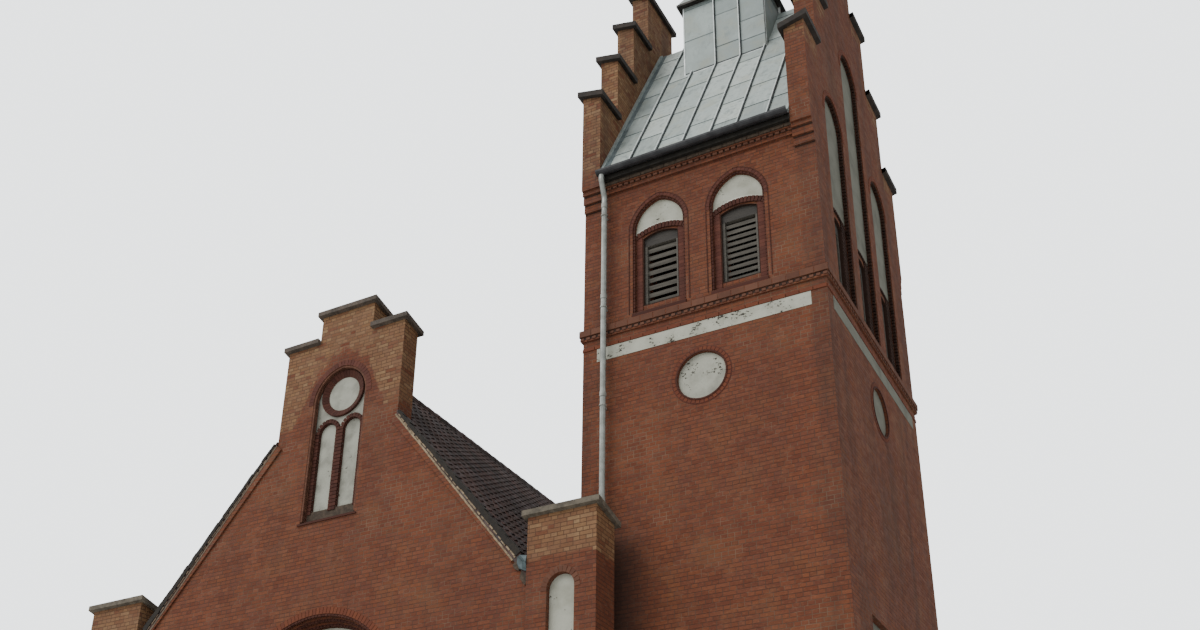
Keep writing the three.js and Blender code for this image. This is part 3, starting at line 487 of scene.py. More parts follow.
def make_finishes(settings):
    group = brickwork_group(settings)
    FINISH.update(
        # the side walls' stronger streaks are painted shade as well as dirt
        tower_brick=brick_material("tower side brickwork", group, step_yellow, soot=0.42),
        wall_brick=brick_material("nave brickwork", group),
        damp_brick=brick_material("tower front brickwork", group, damp=nave_side_damp, soot=0.08),
        gable_brick=brick_material("gable brickwork", group, gable_yellow),
        pier_brick=brick_material("pier brickwork", group, pier_yellow),
        plaster=plaster_material("lime plaster", "adada0", 0.74, size=9.0),
        peeled_plaster=plaster_material("peeled plaster", "b0b0a3", 0.65, "2f2a25", size=10.0),
        disc_plaster=plaster_material("disc plaster", "a9a99c", 0.665, "3d3932", "85847a", 9.0),
        stained_plaster=plaster_material("stained plaster", "a5a599", 0.72, "55524a", "77766c", 5.0),
        white_plaster=plaster_material("white plaster rim", "cbc9bf", 0.9, size=9.0),
        grey_plaster=plaster_material("grey plaster", "6f6e63", 0.8, "45413a", "57564c", 8.0),
        moulded_brick=block_material("moulded bricks", ("5f3426", "683827", "6e3d29", "653627")),
        ring_brick=block_material("ring bricks", ("4d2b24", "573129", "60382e", "522f27")),
        dark_brick=block_material("dark moulded bricks", ("3d211b", "46271f", "4e2c23", "42241d")),
        shaded_brick=block_material("sooty moulded bricks", ("33221b", "3d2922", "2e1f19"), "55402f"),
        zinc_sheets=sheet_material("zinc sheets", ("909a97", "a6b0ac", "bcc4bf")),
        dark_zinc=metal_material("dark seams", "343b3d", "262b2d", 0.3),
        bright_zinc=metal_material("bright folds", "eef2f1", "cdd4d2", 0.2),
        crumpled_zinc=metal_material("crumpled flashing", "556467", "323d40", 0.2),
        flashing=metal_material("blue-grey flashing", "6d787a", "586366", 0.3),
        light_flashing=metal_material("light flashing", "a3aca9", "8b9593", 0.3),
        turret_zinc=sheet_material("turret sheets", ("727d7b", "7d8785", "88928f"), 0.0),
        roof_zinc=sheet_material("turret roof sheets", ("949e9b", "a0aaa6", "acb4af"), 0.2),
        drain=drain_material(high=18.44),
        dark_coping=stone_material("dark coping concrete", "342c27", "231e1b", speck="423a33"),
        raked_joint=stone_material("raked joints", "382319", "281811", 12.0, "4a3020"),
        sooty_brick=block_material("sooty bricks", ("2b201c", "35271f", "2a1f1b", "3b2c25"), "1f1814"),
        band_brick=block_material(
            "weathered band bricks", ("56372b", "603f31", "694637", "5b3b2e"), mortar="7a5d49"
        ),
        sooty_band=stone_material("sooty brick band", "4a3d31", "33291f", 14.0, "5d4a3a"),
        tile_edge=stone_material("mossy tile edges", "261f18", "18130f", 12.0, "393126"),
        pier_coping=stone_material("pier coping concrete", "6a6154", "4a433a"),
        coping=stone_material("coping concrete", "564a41", "3a322d"),
        mortar=stone_material("verge mortar", "9a866c", "6e5d48", 14.0),
        worn_mortar=stone_material("worn verge mortar", "6d5a48", "4e4034", 14.0),
        zinc=zinc_material(),
        gutter=metal_material("dark gutter metal", "37342f", "262320"),
        pipe=metal_material("grey pipe metal", "a2a39d", "84857f", 0.3),
        iron=metal_material("black iron", "26262a", "18181a", 0.6),
        tile=tile_material(),
        louvre=wood_material("grey louvre timber", "615c54", "45413b", (3.0, 3.0, 60.0)),
        dark_wood=wood_material("dark head boards", "3a3530", "272320", (3.0, 3.0, 60.0)),
        door=wood_material("stained door timber", "553a26", "38261a", (60.0, 60.0, 3.0)),
        glass=glass_material(),
    )


NODE_FINISH = {
    "gable_brick": "nave_front_wall nave_back_wall",
    "damp_brick": "tower_front_wall",
    "wall_brick": "nave_left_wall nave_right_wall tower_back_wall tower_string_course "
    "tower_front_cornice tower_back_cornice",
    "tower_brick": "tower_left_wall tower_right_wall",
    "pier_brick": "front_left_pier front_right_pier back_left_pier back_right_pier",
    "pier_coping": "front_left_pier_coping front_right_pier_coping back_left_pier_coping "
    "back_right_pier_coping",
    "coping": "front_gable_top_coping front_gable_left_coping front_gable_right_coping "
    "back_gable_top_coping back_gable_left_coping back_gable_right_coping",
    "stained_plaster": "front_gable_tracery back_gable_tracery",
    "tile": "nave_roof_left nave_roof_right nave_ridge_tiles",
    "zinc": "tower_roof_front tower_roof_back turret_walls",
    "roof_zinc": "turret_roof",
    "drain": "tower_front_gutter tower_back_gutter",
    "iron": "turret_finial",
    "louvre": "tower_front_left_louvre tower_front_right_louvre tower_back_left_louvre "
    "tower_back_right_louvre tower_left_louvres tower_right_louvres",
    "door": "main_door",
    "glass": "front_window_left front_window_right nave_left_windows nave_right_windows",
}


def dress_solids():
    for finish, nodes in NODE_FINISH.items():
        for node in nodes.split():
            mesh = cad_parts[node].data
            mesh.materials.clear()
            mesh.materials.append(FINISH[finish])


# Faces, outlines and solid shapes


class Face:
    """One upright face of the building. Points are given across it, up, and out from it."""

    def __init__(self, x, y, across, out):
        self.foot = Vector((x, y, 0.0))
        self.across = Vector((*across, 0.0))
        self.out = Vector((*out, 0.0))

    def at(self, across, up, out=0.0):
        return self.foot + across * self.across + out * self.out + Vector((0.0, 0.0, up))


TOWER = {
    "front": Face(TOWER_X, TOWER_FRONT, (1, 0), (0, -1)),
    "right": Face(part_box("tower_right_wall")[1].x - COPING_OVERHANG, TOWER_Y, (0, 1), (1, 0)),
    "back": Face(TOWER_X, TOWER_BACK, (-1, 0), (0, 1)),
    "left": Face(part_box("tower_left_wall")[0].x + COPING_OVERHANG, TOWER_Y, (0, -1), (-1, 0)),
}
GABLE = {
    "front": Face(NAVE_X, GABLE_Y, (1, 0), (0, -1)),
    "back": Face(NAVE_X, BACK_Y, (-1, 0), (0, 1)),
}
TOWER_HALF = {"front": 2.43, "back": 2.43, "right": 2.82, "left": 2.82}
EAVE_SIDES = ("front", "back")
GABLE_SIDES = ("left", "right")


def arch_line(centre, half, springing, rise, steps=12):
    """The head of an opening from its right springing to its left one, as two arcs or one flat arc."""
    points = []
    if rise >= half:
        radius = (half**2 + rise**2) / (2 * half)
        angle = math.atan2(rise, radius - half)
        turns = [angle * step / steps for step in range(steps + 1)]
        right = [(radius * math.cos(turn) + half - radius, radius * math.sin(turn)) for turn in turns]
        points = right + [(-across, up) for across, up in reversed(right[:-1])]
    else:
        radius = (half**2 + rise**2) / (2 * rise)
        angle = math.asin(half / radius)
        turns = [angle - 2 * angle * step / (2 * steps) for step in range(2 * steps + 1)]
        points = [(radius * math.sin(turn), rise - radius + radius * math.cos(turn)) for turn in turns]
    return [(centre + across, springing + up) for across, up in points]


def arch_outline(centre, half, sill, springing, rise, steps=12):
    return [(centre - half, sill), (centre + half, sill)] + arch_line(centre, half, springing, rise, steps)


def wider_rise(half, rise, step):
    """The rise of an arch that runs a step outside the arch of this half width and rise."""
    if rise < half:
        return rise
    radius = (half**2 + rise**2) / (2 * half)
    return math.sqrt((radius + step) ** 2 - (radius - half) ** 2)


def circle_line(centre, up, radius, steps=40):
    turns = [2 * math.pi * step / steps for step in range(steps)]
    return [(centre + radius * math.cos(turn), up + radius * math.sin(turn)) for turn in turns]


def rectangle(left, right, low, high):
    return [(left, low), (right, low), (right, high), (left, high)]


def on_face(face, line, out):
    return [face.at(across, up, out) for across, up in line]


class Maker:
    """Collects closed shapes into one mesh, with a chance value for each of its faces."""

    def __init__(self, seed=1):
        self.points = []
        self.faces = []
        self.chances = []
        self.random = random.Random(seed)

    def add(self, points, faces):
        start = len(self.points)
        self.points += [tuple(point) for point in points]
        self.faces += [[start + index for index in face] for face in faces]
        self.chances += [self.random.random()] * len(faces)

    def between(self, front, back):
        """A closed shape between two outlines of as many points, the front one counterclockwise."""
        count = len(front)
        sides = [(i, count + i, count + (i + 1) % count, (i + 1) % count) for i in range(count)]
        caps = [list(range(count)), list(range(2 * count - 1, count - 1, -1))]
        self.add([*front, *back], caps + sides)

    def slab(self, face, outline, low, high):
        self.between(on_face(face, outline, high), on_face(face, outline, low))

    def ring(self, face, outer, inner, low, high):
        count = len(outer)
        levels = [(outer, high), (inner, high), (outer, low), (inner, low)]
        points = [face.at(u, z, out) for line, out in levels for u, z in line]
        faces = []
        for i in range(count):
            j = (i + 1) % count
            faces.append((i, j, count + j, count + i))
            faces.append((2 * count + i, 3 * count + i, 3 * count + j, 2 * count + j))
            faces.append((i, 2 * count + i, 2 * count + j, j))
            faces.append((count + i, count + j, 3 * count + j, 3 * count + i))
        self.add(points, faces)

    def sill(self, face, centre, half, low, front, back):
        """A sloping sill. Its front and its back are each given by their top and how far out they are."""
        left, right = centre - half, centre + half
        ends = [on_face(face, rectangle(left, right, low, top), out) for top, out in (front, back)]
        self.between(*ends)

    def box(self, low, high):
        corners = rectangle(low[0], high[0], low[1], high[1])
        self.between([(x, y, high[2]) for x, y in corners], [(x, y, low[2]) for x, y in corners])

    def tube(self, start, end, radius, steps=16):
        axis = (Vector(end) - Vector(start)).normalized()
        side = axis.orthogonal().normalized()
        other = axis.cross(side)
        turns = [2 * math.pi * step / steps for step in range(steps)]
        rim = [radius * (math.cos(turn) * side + math.sin(turn) * other) for turn in turns]
        self.between([Vector(end) + point for point in rim], [Vector(start) + point for point in rim])

    def done(self, name, finish, slot=None, replaces=()):
        mesh = bpy.data.meshes.new(name)
        mesh.from_pydata(self.points, [], self.faces)
        values = mesh.attributes.new("chance", "FLOAT", "FACE")
        values.data.foreach_set("value", self.chances)
        mesh.materials.append(FINISH[finish])
        return place(bpy.data.objects.new(name, mesh), slot, replaces)


def place(item, slot=None, replaces=()):
    if item.name not in bpy.context.scene.collection.objects:
        bpy.context.scene.collection.objects.link(item)
    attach(item, "root")
    if replaces:
        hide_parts(*replaces)
    return item


# Rows of like pieces, laid along paths

TREES = {}
ROW_INPUTS = {
    "Spacing": "Float",
    "Piece": "Object",
    "Size": "Vector",
    "Out": "Vector",
    "Tilt": "Float",
    "Unevenness": "Float",
    "Seed": "Int",
    "Material": "Material",
}


def turn_outward(item):
    shape = bmesh.new()
    shape.from_mesh(item.data)
    bmesh.ops.recalc_face_normals(shape, faces=shape.faces)
    shape.to_mesh(item.data)
    shape.free()
    return item


def rows_tree():
    """Lays one piece again and again along a path, turned to the path and to an outward direction."""
    tree = bpy.data.node_groups.new("pieces along a path", "GeometryNodeTree")
    tree.interface.new_socket("Path", in_out="INPUT", socket_type="NodeSocketGeometry")
    for label, kind in ROW_INPUTS.items():
        tree.interface.new_socket(label, in_out="INPUT", socket_type="NodeSocket" + kind)
    tree.interface.new_socket("Pieces", in_out="OUTPUT", socket_type="NodeSocketGeometry")
    wiring = Wiring(tree)
    given = tree.nodes.new("NodeGroupInput").outputs

    # one point for each piece, the same way apart
    curve = wiring.add("GeometryNodeMeshToCurve", given["Path"]).outputs[0]
    resample = wiring.add("GeometryNodeResampleCurve", mode="LENGTH")
    wiring.put(resample.inputs["Curve"], curve)
    wiring.put(resample.inputs["Length"], given["Spacing"])
    piece = tree.nodes.new("GeometryNodeObjectInfo")
    wiring.put(piece.inputs["Object"], given["Piece"])

    # how each piece is turned, and how big it is
    along = wiring.add("FunctionNodeAlignRotationToVector", axis="X")
    wiring.put(along.inputs["Vector"], tree.nodes.new("GeometryNodeInputTangent").outputs[0])
    outward = wiring.add("FunctionNodeAlignRotationToVector", axis="Y", pivot_axis="X")
    wiring.put(outward.inputs["Rotation"], along.outputs[0])
    wiring.put(outward.inputs["Vector"], given["Out"])
    angles = wiring.add("ShaderNodeCombineXYZ", 0.0, 0.0, given["Tilt"]).outputs[0]
    turn = wiring.add("FunctionNodeEulerToRotation", angles).outputs[0]
    turned = wiring.add("FunctionNodeRotateRotation", outward.outputs[0], turn, rotation_space="LOCAL")
    change = wiring.add("FunctionNodeRandomValue", data_type="FLOAT")
    wiring.put(change.inputs[2], wiring.math("SUBTRACT", 1.0, given["Unevenness"]))
    wiring.put(change.inputs[3], 1.0)
    wiring.put(change.inputs["Seed"], given["Seed"])
    size = wiring.stretched(given["Size"], change.outputs[1])

    laid = tree.nodes.new("GeometryNodeInstanceOnPoints")
    wiring.put(laid.inputs["Points"], resample.outputs[0])
    wiring.put(laid.inputs["Instance"], piece.outputs["Geometry"])
    wiring.put(laid.inputs["Rotation"], turned.outputs[0])
    wiring.put(laid.inputs["Scale"], size)
    chance = wiring.add("FunctionNodeRandomValue", data_type="FLOAT")
    wiring.put(chance.inputs["Seed"], given["Seed"])
    named = wiring.add("GeometryNodeStoreNamedAttribute", domain="INSTANCE")
    wiring.put(named.inputs["Geometry"], laid.outputs[0])
    wiring.put(named.inputs["Name"], "chance")
    wiring.put(named.inputs["Value"], chance.outputs[1])
    solid = wiring.add("GeometryNodeRealizeInstances", named.outputs[0]).outputs[0]
    finished = tree.nodes.new("GeometryNodeSetMaterial")
    wiring.put(finished.inputs["Geometry"], solid)
    wiring.put(finished.inputs["Material"], given["Material"])
    wiring.put(tree.nodes.new("NodeGroupOutput").inputs[0], finished.outputs[0])
    return tree


def template(name, points, faces):
    mesh = bpy.data.meshes.new(name)
    mesh.from_pydata(points, [], faces)
    return bpy.data.objects.new(name, mesh)


def block_template():
    corners = [(x, y, z) for x in (-0.5, 0.5) for y in (-0.5, 0.5) for z in (-0.5, 0.5)]
    faces = [(0, 1, 3, 2), (4, 6, 7, 5), (0, 4, 5, 1), (2, 3, 7, 6), (0, 2, 6, 4), (1, 5, 7, 3)]
    return template("block", corners, faces)


def lay(
    name, paths, spacing, size, out, finish, slot="red_brick", piece=None, tilt=0.0, uneven=0.04, seed=3
):
    """Lays pieces along paths. A path is a list of points and whether it is closed."""
    points, edges = [], []
    for line, closed in paths:
        start = len(points)
        points += [tuple(point) for point in line]
        edges += [(start + i, start + i + 1) for i in range(len(line) - 1)]
        if closed:
            edges.append((len(points) - 1, start))
    mesh = bpy.data.meshes.new(name)
    mesh.from_pydata(points, edges, [])
    item = bpy.data.objects.new(name, mesh)
    bpy.context.scene.collection.objects.link(item)
    if not TREES:
        TREES["rows"] = rows_tree()
        TREES["block"] = block_template()
    modifier = item.modifiers.new("rows", "NODES")
    modifier.node_group = TREES["rows"]
    values = {
        "Spacing": spacing,
        "Piece": piece or TREES["block"],
        "Size": tuple(size),
        "Out": tuple(out),
        "Tilt": tilt,
        "Unevenness": uneven,
        "Seed": seed,
        "Material": FINISH[finish],
    }
    for socket in modifier.node_group.interface.items_tree:
        if socket.name in values:
            modifier[socket.identifier] = values[socket.name]
    graph = bpy.context.evaluated_depsgraph_get()
    laid = item.evaluated_get(graph)
    solid = bpy.data.meshes.new_from_object(laid, preserve_all_data_layers=True, depsgraph=graph)
    item.modifiers.clear()
    item.data = solid
    solid.name = name
    if not solid.polygons:
        raise RuntimeError(f"{name} has no pieces")
    return place(item, slot)


def straight(face, start, end, out):
    """A path between two places on a face."""
    return on_face(face, [start, end], out), False


# Copings of the tower's stepped gables

GABLE_THICKNESS = 0.41
COPING = {"thickness": 0.10, "fall": 0.25, "cover": 0.006, "bury": 0.02}


def gable_copings(side):
    """Slabs over the coping of each step, which fall from the back to the front."""
    face = TOWER[side]
    maker = Maker()
    cover, bury = COPING["cover"], COPING["bury"]
    near = COPING_OVERHANG + cover
    far = -GABLE_THICKNESS - COPING_OVERHANG - cover
    for step in range(STEP["count"]):
        end = step_half(step) + COPING_OVERHANG + cover
        inside = 0.0 if step == STEP["count"] - 1 else step_half(step + 1) - bury
        for hand in (-1, 1):
            left, right = sorted((hand * inside, hand * end))
            ends = []
            for out in (near, far):
                under = step_top(step) - bury + COPING["fall"] * out - cover
                top = under + COPING["thickness"] + bury + 2 * cover
                ends.append(on_face(face, rectangle(left, right, under, top), out))
            maker.between(*ends)
    maker.done(f"tower_{side}_gable_copings", "dark_coping", "concrete_coping")


# Plaster: roundels, bands, heads of the belfry windows and lancets

ROUNDEL = {"up": 13.45, "radius": 0.475, "depth": 0.06}
BAND = {"low": 14.30, "high": 14.58, "margin": 0.30, "out": 0.006}
BELFRY = {"offset": 0.815, "sill": 15.16, "springing": 17.05, "depth": 0.10, "half": 0.515, "rise": 0.64}
BELFRY_EDGE = {"half": 0.555, "rise": 0.68}
FLAT_RISE = 0.13
LOUVRE = {"half": 0.375, "sill": 15.33, "springing": 16.88, "rise": 0.10, "setback": 0.15}
LANCETS = ((-1.475, 19.28), (0.0, 21.62), (1.475, 19.28))
LANCET = {"half": 0.54, "rise": 0.60, "depth": 0.115, "sill": 15.04, "plaster": 17.16}
SLIT = {"half": 0.225, "sill": 15.14, "springing": 16.88, "rise": 0.08, "setback": 0.165}
# The bricks beside each slit, and the flat arch over it
SLIT_JAMBS = {"across": (0.25, 0.31, 0.37, 0.43), "top": 17.05}
SLIT_ARCH = {"half": 0.5, "springing": 17.0, "rise": 0.10}
# The thickness of a plaster face, and how far plaster stays inside the brick round it
PLATE = 0.012
INSET = 0.004


def roundel_plaster(side):
    maker = Maker()
    outline = circle_line(0, ROUNDEL["up"], ROUNDEL["radius"] - 0.003)
    maker.slab(TOWER[side], outline, -ROUNDEL["depth"], PLATE - ROUNDEL["depth"])
    # on the side walls the roundel's plaster is darkened as painted shade
    maker.done(f"tower_{side}_roundel", "disc_plaster" if side in EAVE_SIDES else "grey_plaster", "plaster")


def band_plaster(side):
    maker = Maker()
    half = TOWER_HALF[side] - BAND["margin"]
    maker.slab(TOWER[side], rectangle(-half, half, BAND["low"], BAND["high"]), 0.0, BAND["out"])
    # on the side walls the band's plaster is darkened as painted shade
    finish = "peeled_plaster" if side in EAVE_SIDES else "grey_plaster"
    maker.done(f"tower_{side}_plaster_band", finish, "plaster")


def belfry_heads(side):
    """The plaster over the louvres, down to the flat arch that carries it, with a white rim there."""
    maker, rim = Maker(), Maker()
    depth = BELFRY["depth"]
    for hand in (-1, 1):
        centre = hand * BELFRY["offset"]
        half = BELFRY["half"] - INSET
        head = arch_line(centre, half, BELFRY["springing"], BELFRY["rise"] - INSET)
        foot = arch_line(centre, half, BELFRY["springing"] - 0.06, FLAT_RISE, 8)
        maker.slab(TOWER[side], head + foot[::-1], -depth, 0.02 - depth)
        above = [(across, up + 0.032) for across, up in foot]
        rim.slab(TOWER[side], above + foot[::-1], -depth, 0.028 - depth)
    maker.done(f"tower_{side}_belfry_plaster", "plaster", "plaster")
    rim.done(f"tower_{side}_belfry_rims", "white_plaster", "plaster")


def lancet_panels(side):
    maker = Maker()
    half, rise = LANCET["half"] - INSET, LANCET["rise"] - INSET
    for offset, springing in LANCETS:
        outline = arch_outline(offset, half, LANCET["plaster"], springing, rise)
        maker.slab(TOWER[side], outline, -LANCET["depth"], PLATE - LANCET["depth"])
    # the lancets stand on the side walls, so their plaster is darkened as painted shade
    maker.done(f"tower_{side}_lancet_plaster", "grey_plaster", "plaster")


# Brick mouldings, rings and dentils. A size is along the row, out from the wall, and across the row.

# How far apart bricks lie up a jamb, and headers round an arch
BRICK = 0.079
HEADER = 0.083
ARCH_HEADER = (0.07, 0.014, 0.13)
SHORT_HEADER = (0.07, 0.014, 0.11)


def arch_path(face, centre, opening, out, step=0.0, foot=None):
    """Round the head of an opening, a step outside its edge, and down both sides where a foot is given."""
    half, rise = opening["half"], opening["rise"]
    line = arch_line(centre, half + step, opening["springing"], wider_rise(half, rise, step), 16)
    if foot is not None:
        line = [(centre + half + step, foot)] + line + [(centre - half - step, foot)]
    return on_face(face, line, out), False


def round_headed(half, sill, springing):
    return {"half": half, "rise": half, "sill": sill, "springing": springing}


def inset_outline(centre, opening, inset, steps=12):
    """The outline of an opening, moved in from its edge."""
    half, rise = opening["half"] - inset, opening["rise"] - inset
    return arch_outline(centre, half, opening["sill"] + inset, opening["springing"], rise, steps)


def opening_linings(side, name, centres, opening, depth):
    """Dark brick inside each louvred opening, from the recess in to the louvre's frame."""
    maker = Maker()
    for centre in centres:
        edges = [inset_outline(centre, opening, inset, 6) for inset in (0.002, 0.014)]
        maker.ring(TOWER[side], *edges, -opening["setback"], -depth)
    maker.done(f"tower_{side}_{name}_linings", "shaded_brick", "red_brick")


def belfry_mouldings(side):
    """The rings, beads, flat arches, jambs and sills of the belfry windows."""
    face = TOWER[side]
    rings, edges, beads, flats, jambs = [], [], [], [], []
    sills = Maker()
    sill, springing, depth = BELFRY["sill"], BELFRY["springing"], BELFRY["depth"]
    edge = {**BELFRY_EDGE, "springing": springing}
    for hand in (-1, 1):
        centre = hand * BELFRY["offset"]
        rings.append(arch_path(face, centre, edge, 0.0, 0.033))
        edges.append(arch_path(face, centre, edge, 0.0, 0.074, sill + 0.05))
        beads.append(arch_path(face, centre, edge, -0.035, -0.02, sill))
        line = arch_line(centre, BELFRY["half"], springing - 0.115, FLAT_RISE, 10)
        flats.append((on_face(face, line, 0.012 - depth), False))
        for u in (centre - 0.445, centre + 0.445):
            jambs.append(straight(face, (u, sill + 0.04), (u, springing - 0.17), 0.004 - depth))
        sills.sill(face, centre, 0.56, sill - 0.105, (sill - 0.025, 0.03), (sill + 0.04, -depth))
    name = f"tower_{side}_belfry"
    lay(f"{name}_rings", rings, HEADER, (0.077, 0.014, 0.062), face.out, "ring_brick")
    lay(f"{name}_ring_edges", edges, 0.12, (0.117, 0.02, 0.018), face.out, "dark_brick")
    lay(f"{name}_beads", beads, BRICK, (0.069, 0.035, 0.04), face.out, "dark_brick")
    lay(f"{name}_flat_arches", flats, 0.075, (0.063, 0.05, 0.12), face.out, "dark_brick")
    lay(f"{name}_jambs", jambs, BRICK, (0.0765, 0.03, 0.125), face.out, "ring_brick", uneven=0.01)
    sills.done(f"{name}_sills", "dark_brick", "red_brick")
    opening_linings(side, "belfry", [-BELFRY["offset"], BELFRY["offset"]], LOUVRE, depth - 0.004)


def roundel_ring(side):
    """A ring of headers round the roundel, the joints under them, and a bead inside."""
    face = TOWER[side]

    def circle(wider):
        return circle_line(0, ROUNDEL["up"], ROUNDEL["radius"] + wider, 48)

    bead = [(on_face(face, circle(0.017), 0.004), True)]
    ring = [(on_face(face, circle(0.052), 0.002), True)]
    lay(f"tower_{side}_roundel_bead", bead, 0.066, (0.064, 0.03, 0.032), face.out, "dark_brick")
    lay(f"tower_{side}_roundel_ring", ring, HEADER, (0.070, 0.014, 0.1), face.out, "moulded_brick")
    joints = Maker()
    joints.ring(face, circle(0.116), circle(0.006), -0.01, 0.004)
    joints.done(f"tower_{side}_roundel_joints", "ring_brick", "red_brick")


# Level rows on the tower: what they lose at each end, height, out, spacing, size, finish, unevenness
LEVEL_ROWS = {
    "string_dentils": (0.0, 14.852, 0.042, 0.125, (0.076, 0.020, 0.05), "band_brick", 0.03),
    "plaster_head": (0.125, 14.62, 0.004, 0.25, (0.243, 0.024, 0.068), "moulded_brick", 0.01),
    "string_band": (0.065, 14.965, 0.052, 0.25, (0.243, 0.026, 0.125), "band_brick", 0.01),
    "cornice_dentils": (0.02, 18.225, 0.07, 0.125, (0.085, 0.036, 0.045), "band_brick", 0.03),
    "cornice_bead": (0.0, 18.31, 0.112, 0.24, (0.238, 0.03, 0.05), "sooty_band", 0.01),
    "cornice_band": (0.0, 18.37, 0.102, 0.24, (0.238, 0.02, 0.07), "sooty_band", 0.01),
}
CORNICE_HALF = 2.0
# The lower and upper edge of the dark strip behind each row of dentils, painted shadow in the hollow
STRING_HOLLOW = (14.838, 14.895)
CORNICE_HOLLOW = (18.212, 18.252)
CORBEL = {"count": 4, "foot": 17.83, "rise": 0.185, "run": 0.04375, "inner": 2.025, "outer": 2.425}


def level_rows(side, half, *names):
    face = TOWER[side]
    for name in names:
        less, up, out, spacing, size, finish, uneven = LEVEL_ROWS[name]
        path = straight(face, (less - half, up), (half - less, up), out)
        lay(f"tower_{side}_{name}", [path], spacing, size, face.out, finish, uneven=uneven)


def string_dentils(side):
    """Dentils and bands of the string course, with the hollow behind the dentils."""
    half = TOWER_HALF[side]
    level_rows(side, half, "string_dentils")
    hollow = Maker()
    hollow.slab(TOWER[side], rectangle(-half - 0.03, half + 0.03, *STRING_HOLLOW), 0.015, 0.038)
    hollow.done(f"tower_{side}_string_hollow", "raked_joint", "red_brick")
    level_rows(side, half, "plaster_head", "string_band")


def cornice_dentils(side):
    """Dentils and bands under the gutter, and the raked joints under the corbels at its two ends."""
    level_rows(side, CORNICE_HALF, "cornice_dentils")
    hollows = Maker()
    hollows.slab(TOWER[side], rectangle(-CORNICE_HALF, CORNICE_HALF, *CORNICE_HOLLOW), 0.04, 0.054)
    for hand in (-1, 1):
        left, right = sorted((hand * CORBEL["inner"], hand * CORBEL["outer"]))
        for corbel in range(CORBEL["count"]):
            low = CORBEL["foot"] + corbel * CORBEL["rise"]
            out = corbel * CORBEL["run"] + 0.005
            hollows.slab(TOWER[side], rectangle(left, right, low - 0.028, low), out - 0.02, out)
    hollows.done(f"tower_{side}_cornice_hollows", "raked_joint", "red_brick")
    level_rows(side, CORNICE_HALF, "cornice_bead", "cornice_band")


def lancet_mouldings(side):
    """The rings and beads of the three lancets, and the brick round the slit under each one's plaster."""
    face = TOWER[side]
    rings, beads, jambs = [], [], []
    depth = LANCET["depth"]
    for offset, springing in LANCETS:
        lancet = {**LANCET, "springing": springing}
        rings.append(arch_path(face, offset, lancet, 0.0, 0.055))
        beads.append(arch_path(face, offset, lancet, -0.05, -0.022, LANCET["sill"]))
        for hand in (-1, 1):
            for across in SLIT_JAMBS["across"]:
                u = offset + hand * across
                jambs.append(straight(face, (u, SLIT["sill"]), (u, SLIT_JAMBS["top"]), 0.01 - depth))
        head = arch_line(offset, SLIT_ARCH["half"], SLIT_ARCH["springing"], SLIT_ARCH["rise"], 8)
        jambs.append((on_face(face, head, 0.02 - depth), False))
    lay(f"tower_{side}_lancet_rings", rings, HEADER, SHORT_HEADER, face.out, "moulded_brick")
    # the beads and the slit jambs sit deep in the recess and are darkened as painted shade
    lay(f"tower_{side}_lancet_beads", beads, BRICK, (0.056, 0.06, 0.044), face.out, "shaded_brick")
    opening_linings(side, "slit", [offset for offset, _ in LANCETS], SLIT, depth - 0.01)
    lay(f"tower_{side}_lancet_jambs", jambs, BRICK, (0.058, 0.03, 0.045), face.out, "shaded_brick")


# Louvres: a frame with boards that stand nearly upright


BOARD_TILT = math.radians(-72)
# The height of a board and the gap over it, in each of the louvred openings
LEFT_BOARDS = (0.115, 0.05)
RIGHT_BOARDS = (0.092, 0.04)
SLIT_BOARDS = (0.1, 0.045)


def louvre_set(name, face, panels, nodes, board, gap):
    """The frames, head boards and louvre boards of like openings, in place of the plain solids."""
    maker, dark = Maker(), Maker()
    boards = []
    for centre, opening in panels:
        half, sill = opening["half"] - 0.002, opening["sill"] + 0.002
        head = opening["springing"] - 0.10
        outer = rectangle(centre - half, centre + half, sill, head)
        inner = rectangle(centre - half + 0.065, centre + half - 0.065, sill + 0.05, head - 0.07)
        front = -opening["setback"]
        maker.ring(face, outer, inner, front - 0.11, front)
        # a dark board fills the arch over the top rail as painted shade in the head
        over = arch_outline(centre, half, head - 0.065, opening["springing"], opening["rise"], 6)
        dark.slab(face, over, front - 0.11, front + 0.004)
        boards.append(straight(face, (centre, sill + 0.09), (centre, head - 0.16), front - 0.05))
    maker.done(f"{name}_frames", "louvre", "louvre_wood", nodes)
    dark.done(f"{name}_heads", "dark_wood", "louvre_wood")
    size = (0.018, board * 0.73, 2 * (panels[0][1]["half"] - 0.06))
    row = board + gap
    lay(f"{name}_boards", boards, row, size, face.out, "louvre", "louvre_wood", tilt=BOARD_TILT, uneven=0.02)


def louvres():
    for side in EAVE_SIDES:
        for name, hand, boards in (("left", -1, LEFT_BOARDS), ("right", 1, RIGHT_BOARDS)):
            centre = hand * BELFRY["offset"] if side == "front" else -hand * BELFRY["offset"]
            name = f"tower_{side}_{name}_louvre"
            louvre_set(name, TOWER[side], [(centre, LOUVRE)], [name], *boards)
    for side in GABLE_SIDES:
        panels = [(offset, SLIT) for offset, _ in LANCETS]
        louvre_set(f"tower_{side}_louvre", TOWER[side], panels, [f"tower_{side}_louvres"], *SLIT_BOARDS)


# Sheet metal: the tower's roof, the turret and what drains them

ROOF = {"ridge": 24.25, "eave": 18.56, "eave_out": 0.19, "left": -2.02, "right": 2.02}
# Where the seams run across the roof, and how high the sheets join in each column of the turret
SEAMS = (-1.37, -0.80, -0.21, 0.38, 0.94, 1.56)
TURRET_JOINTS = ((23.41, 24.34), (22.93, 23.87), (22.84, 23.41, 24.1))
TURRET = {"half": 0.97, "top": 24.45, "eave": 0.12}
ROOF_RUN = (TOWER_BACK - TOWER_FRONT) / 2 + ROOF["eave_out"]
ROOF_RISE = ROOF["ridge"] - ROOF["eave"]
# A seam's standing edge, dark as painted shade, and the fold at its left, a painted highlight: from, to and
# height
SEAM = (-0.002, 0.018, 0.035)
FOLD = (-0.016, -0.002, 0.055)


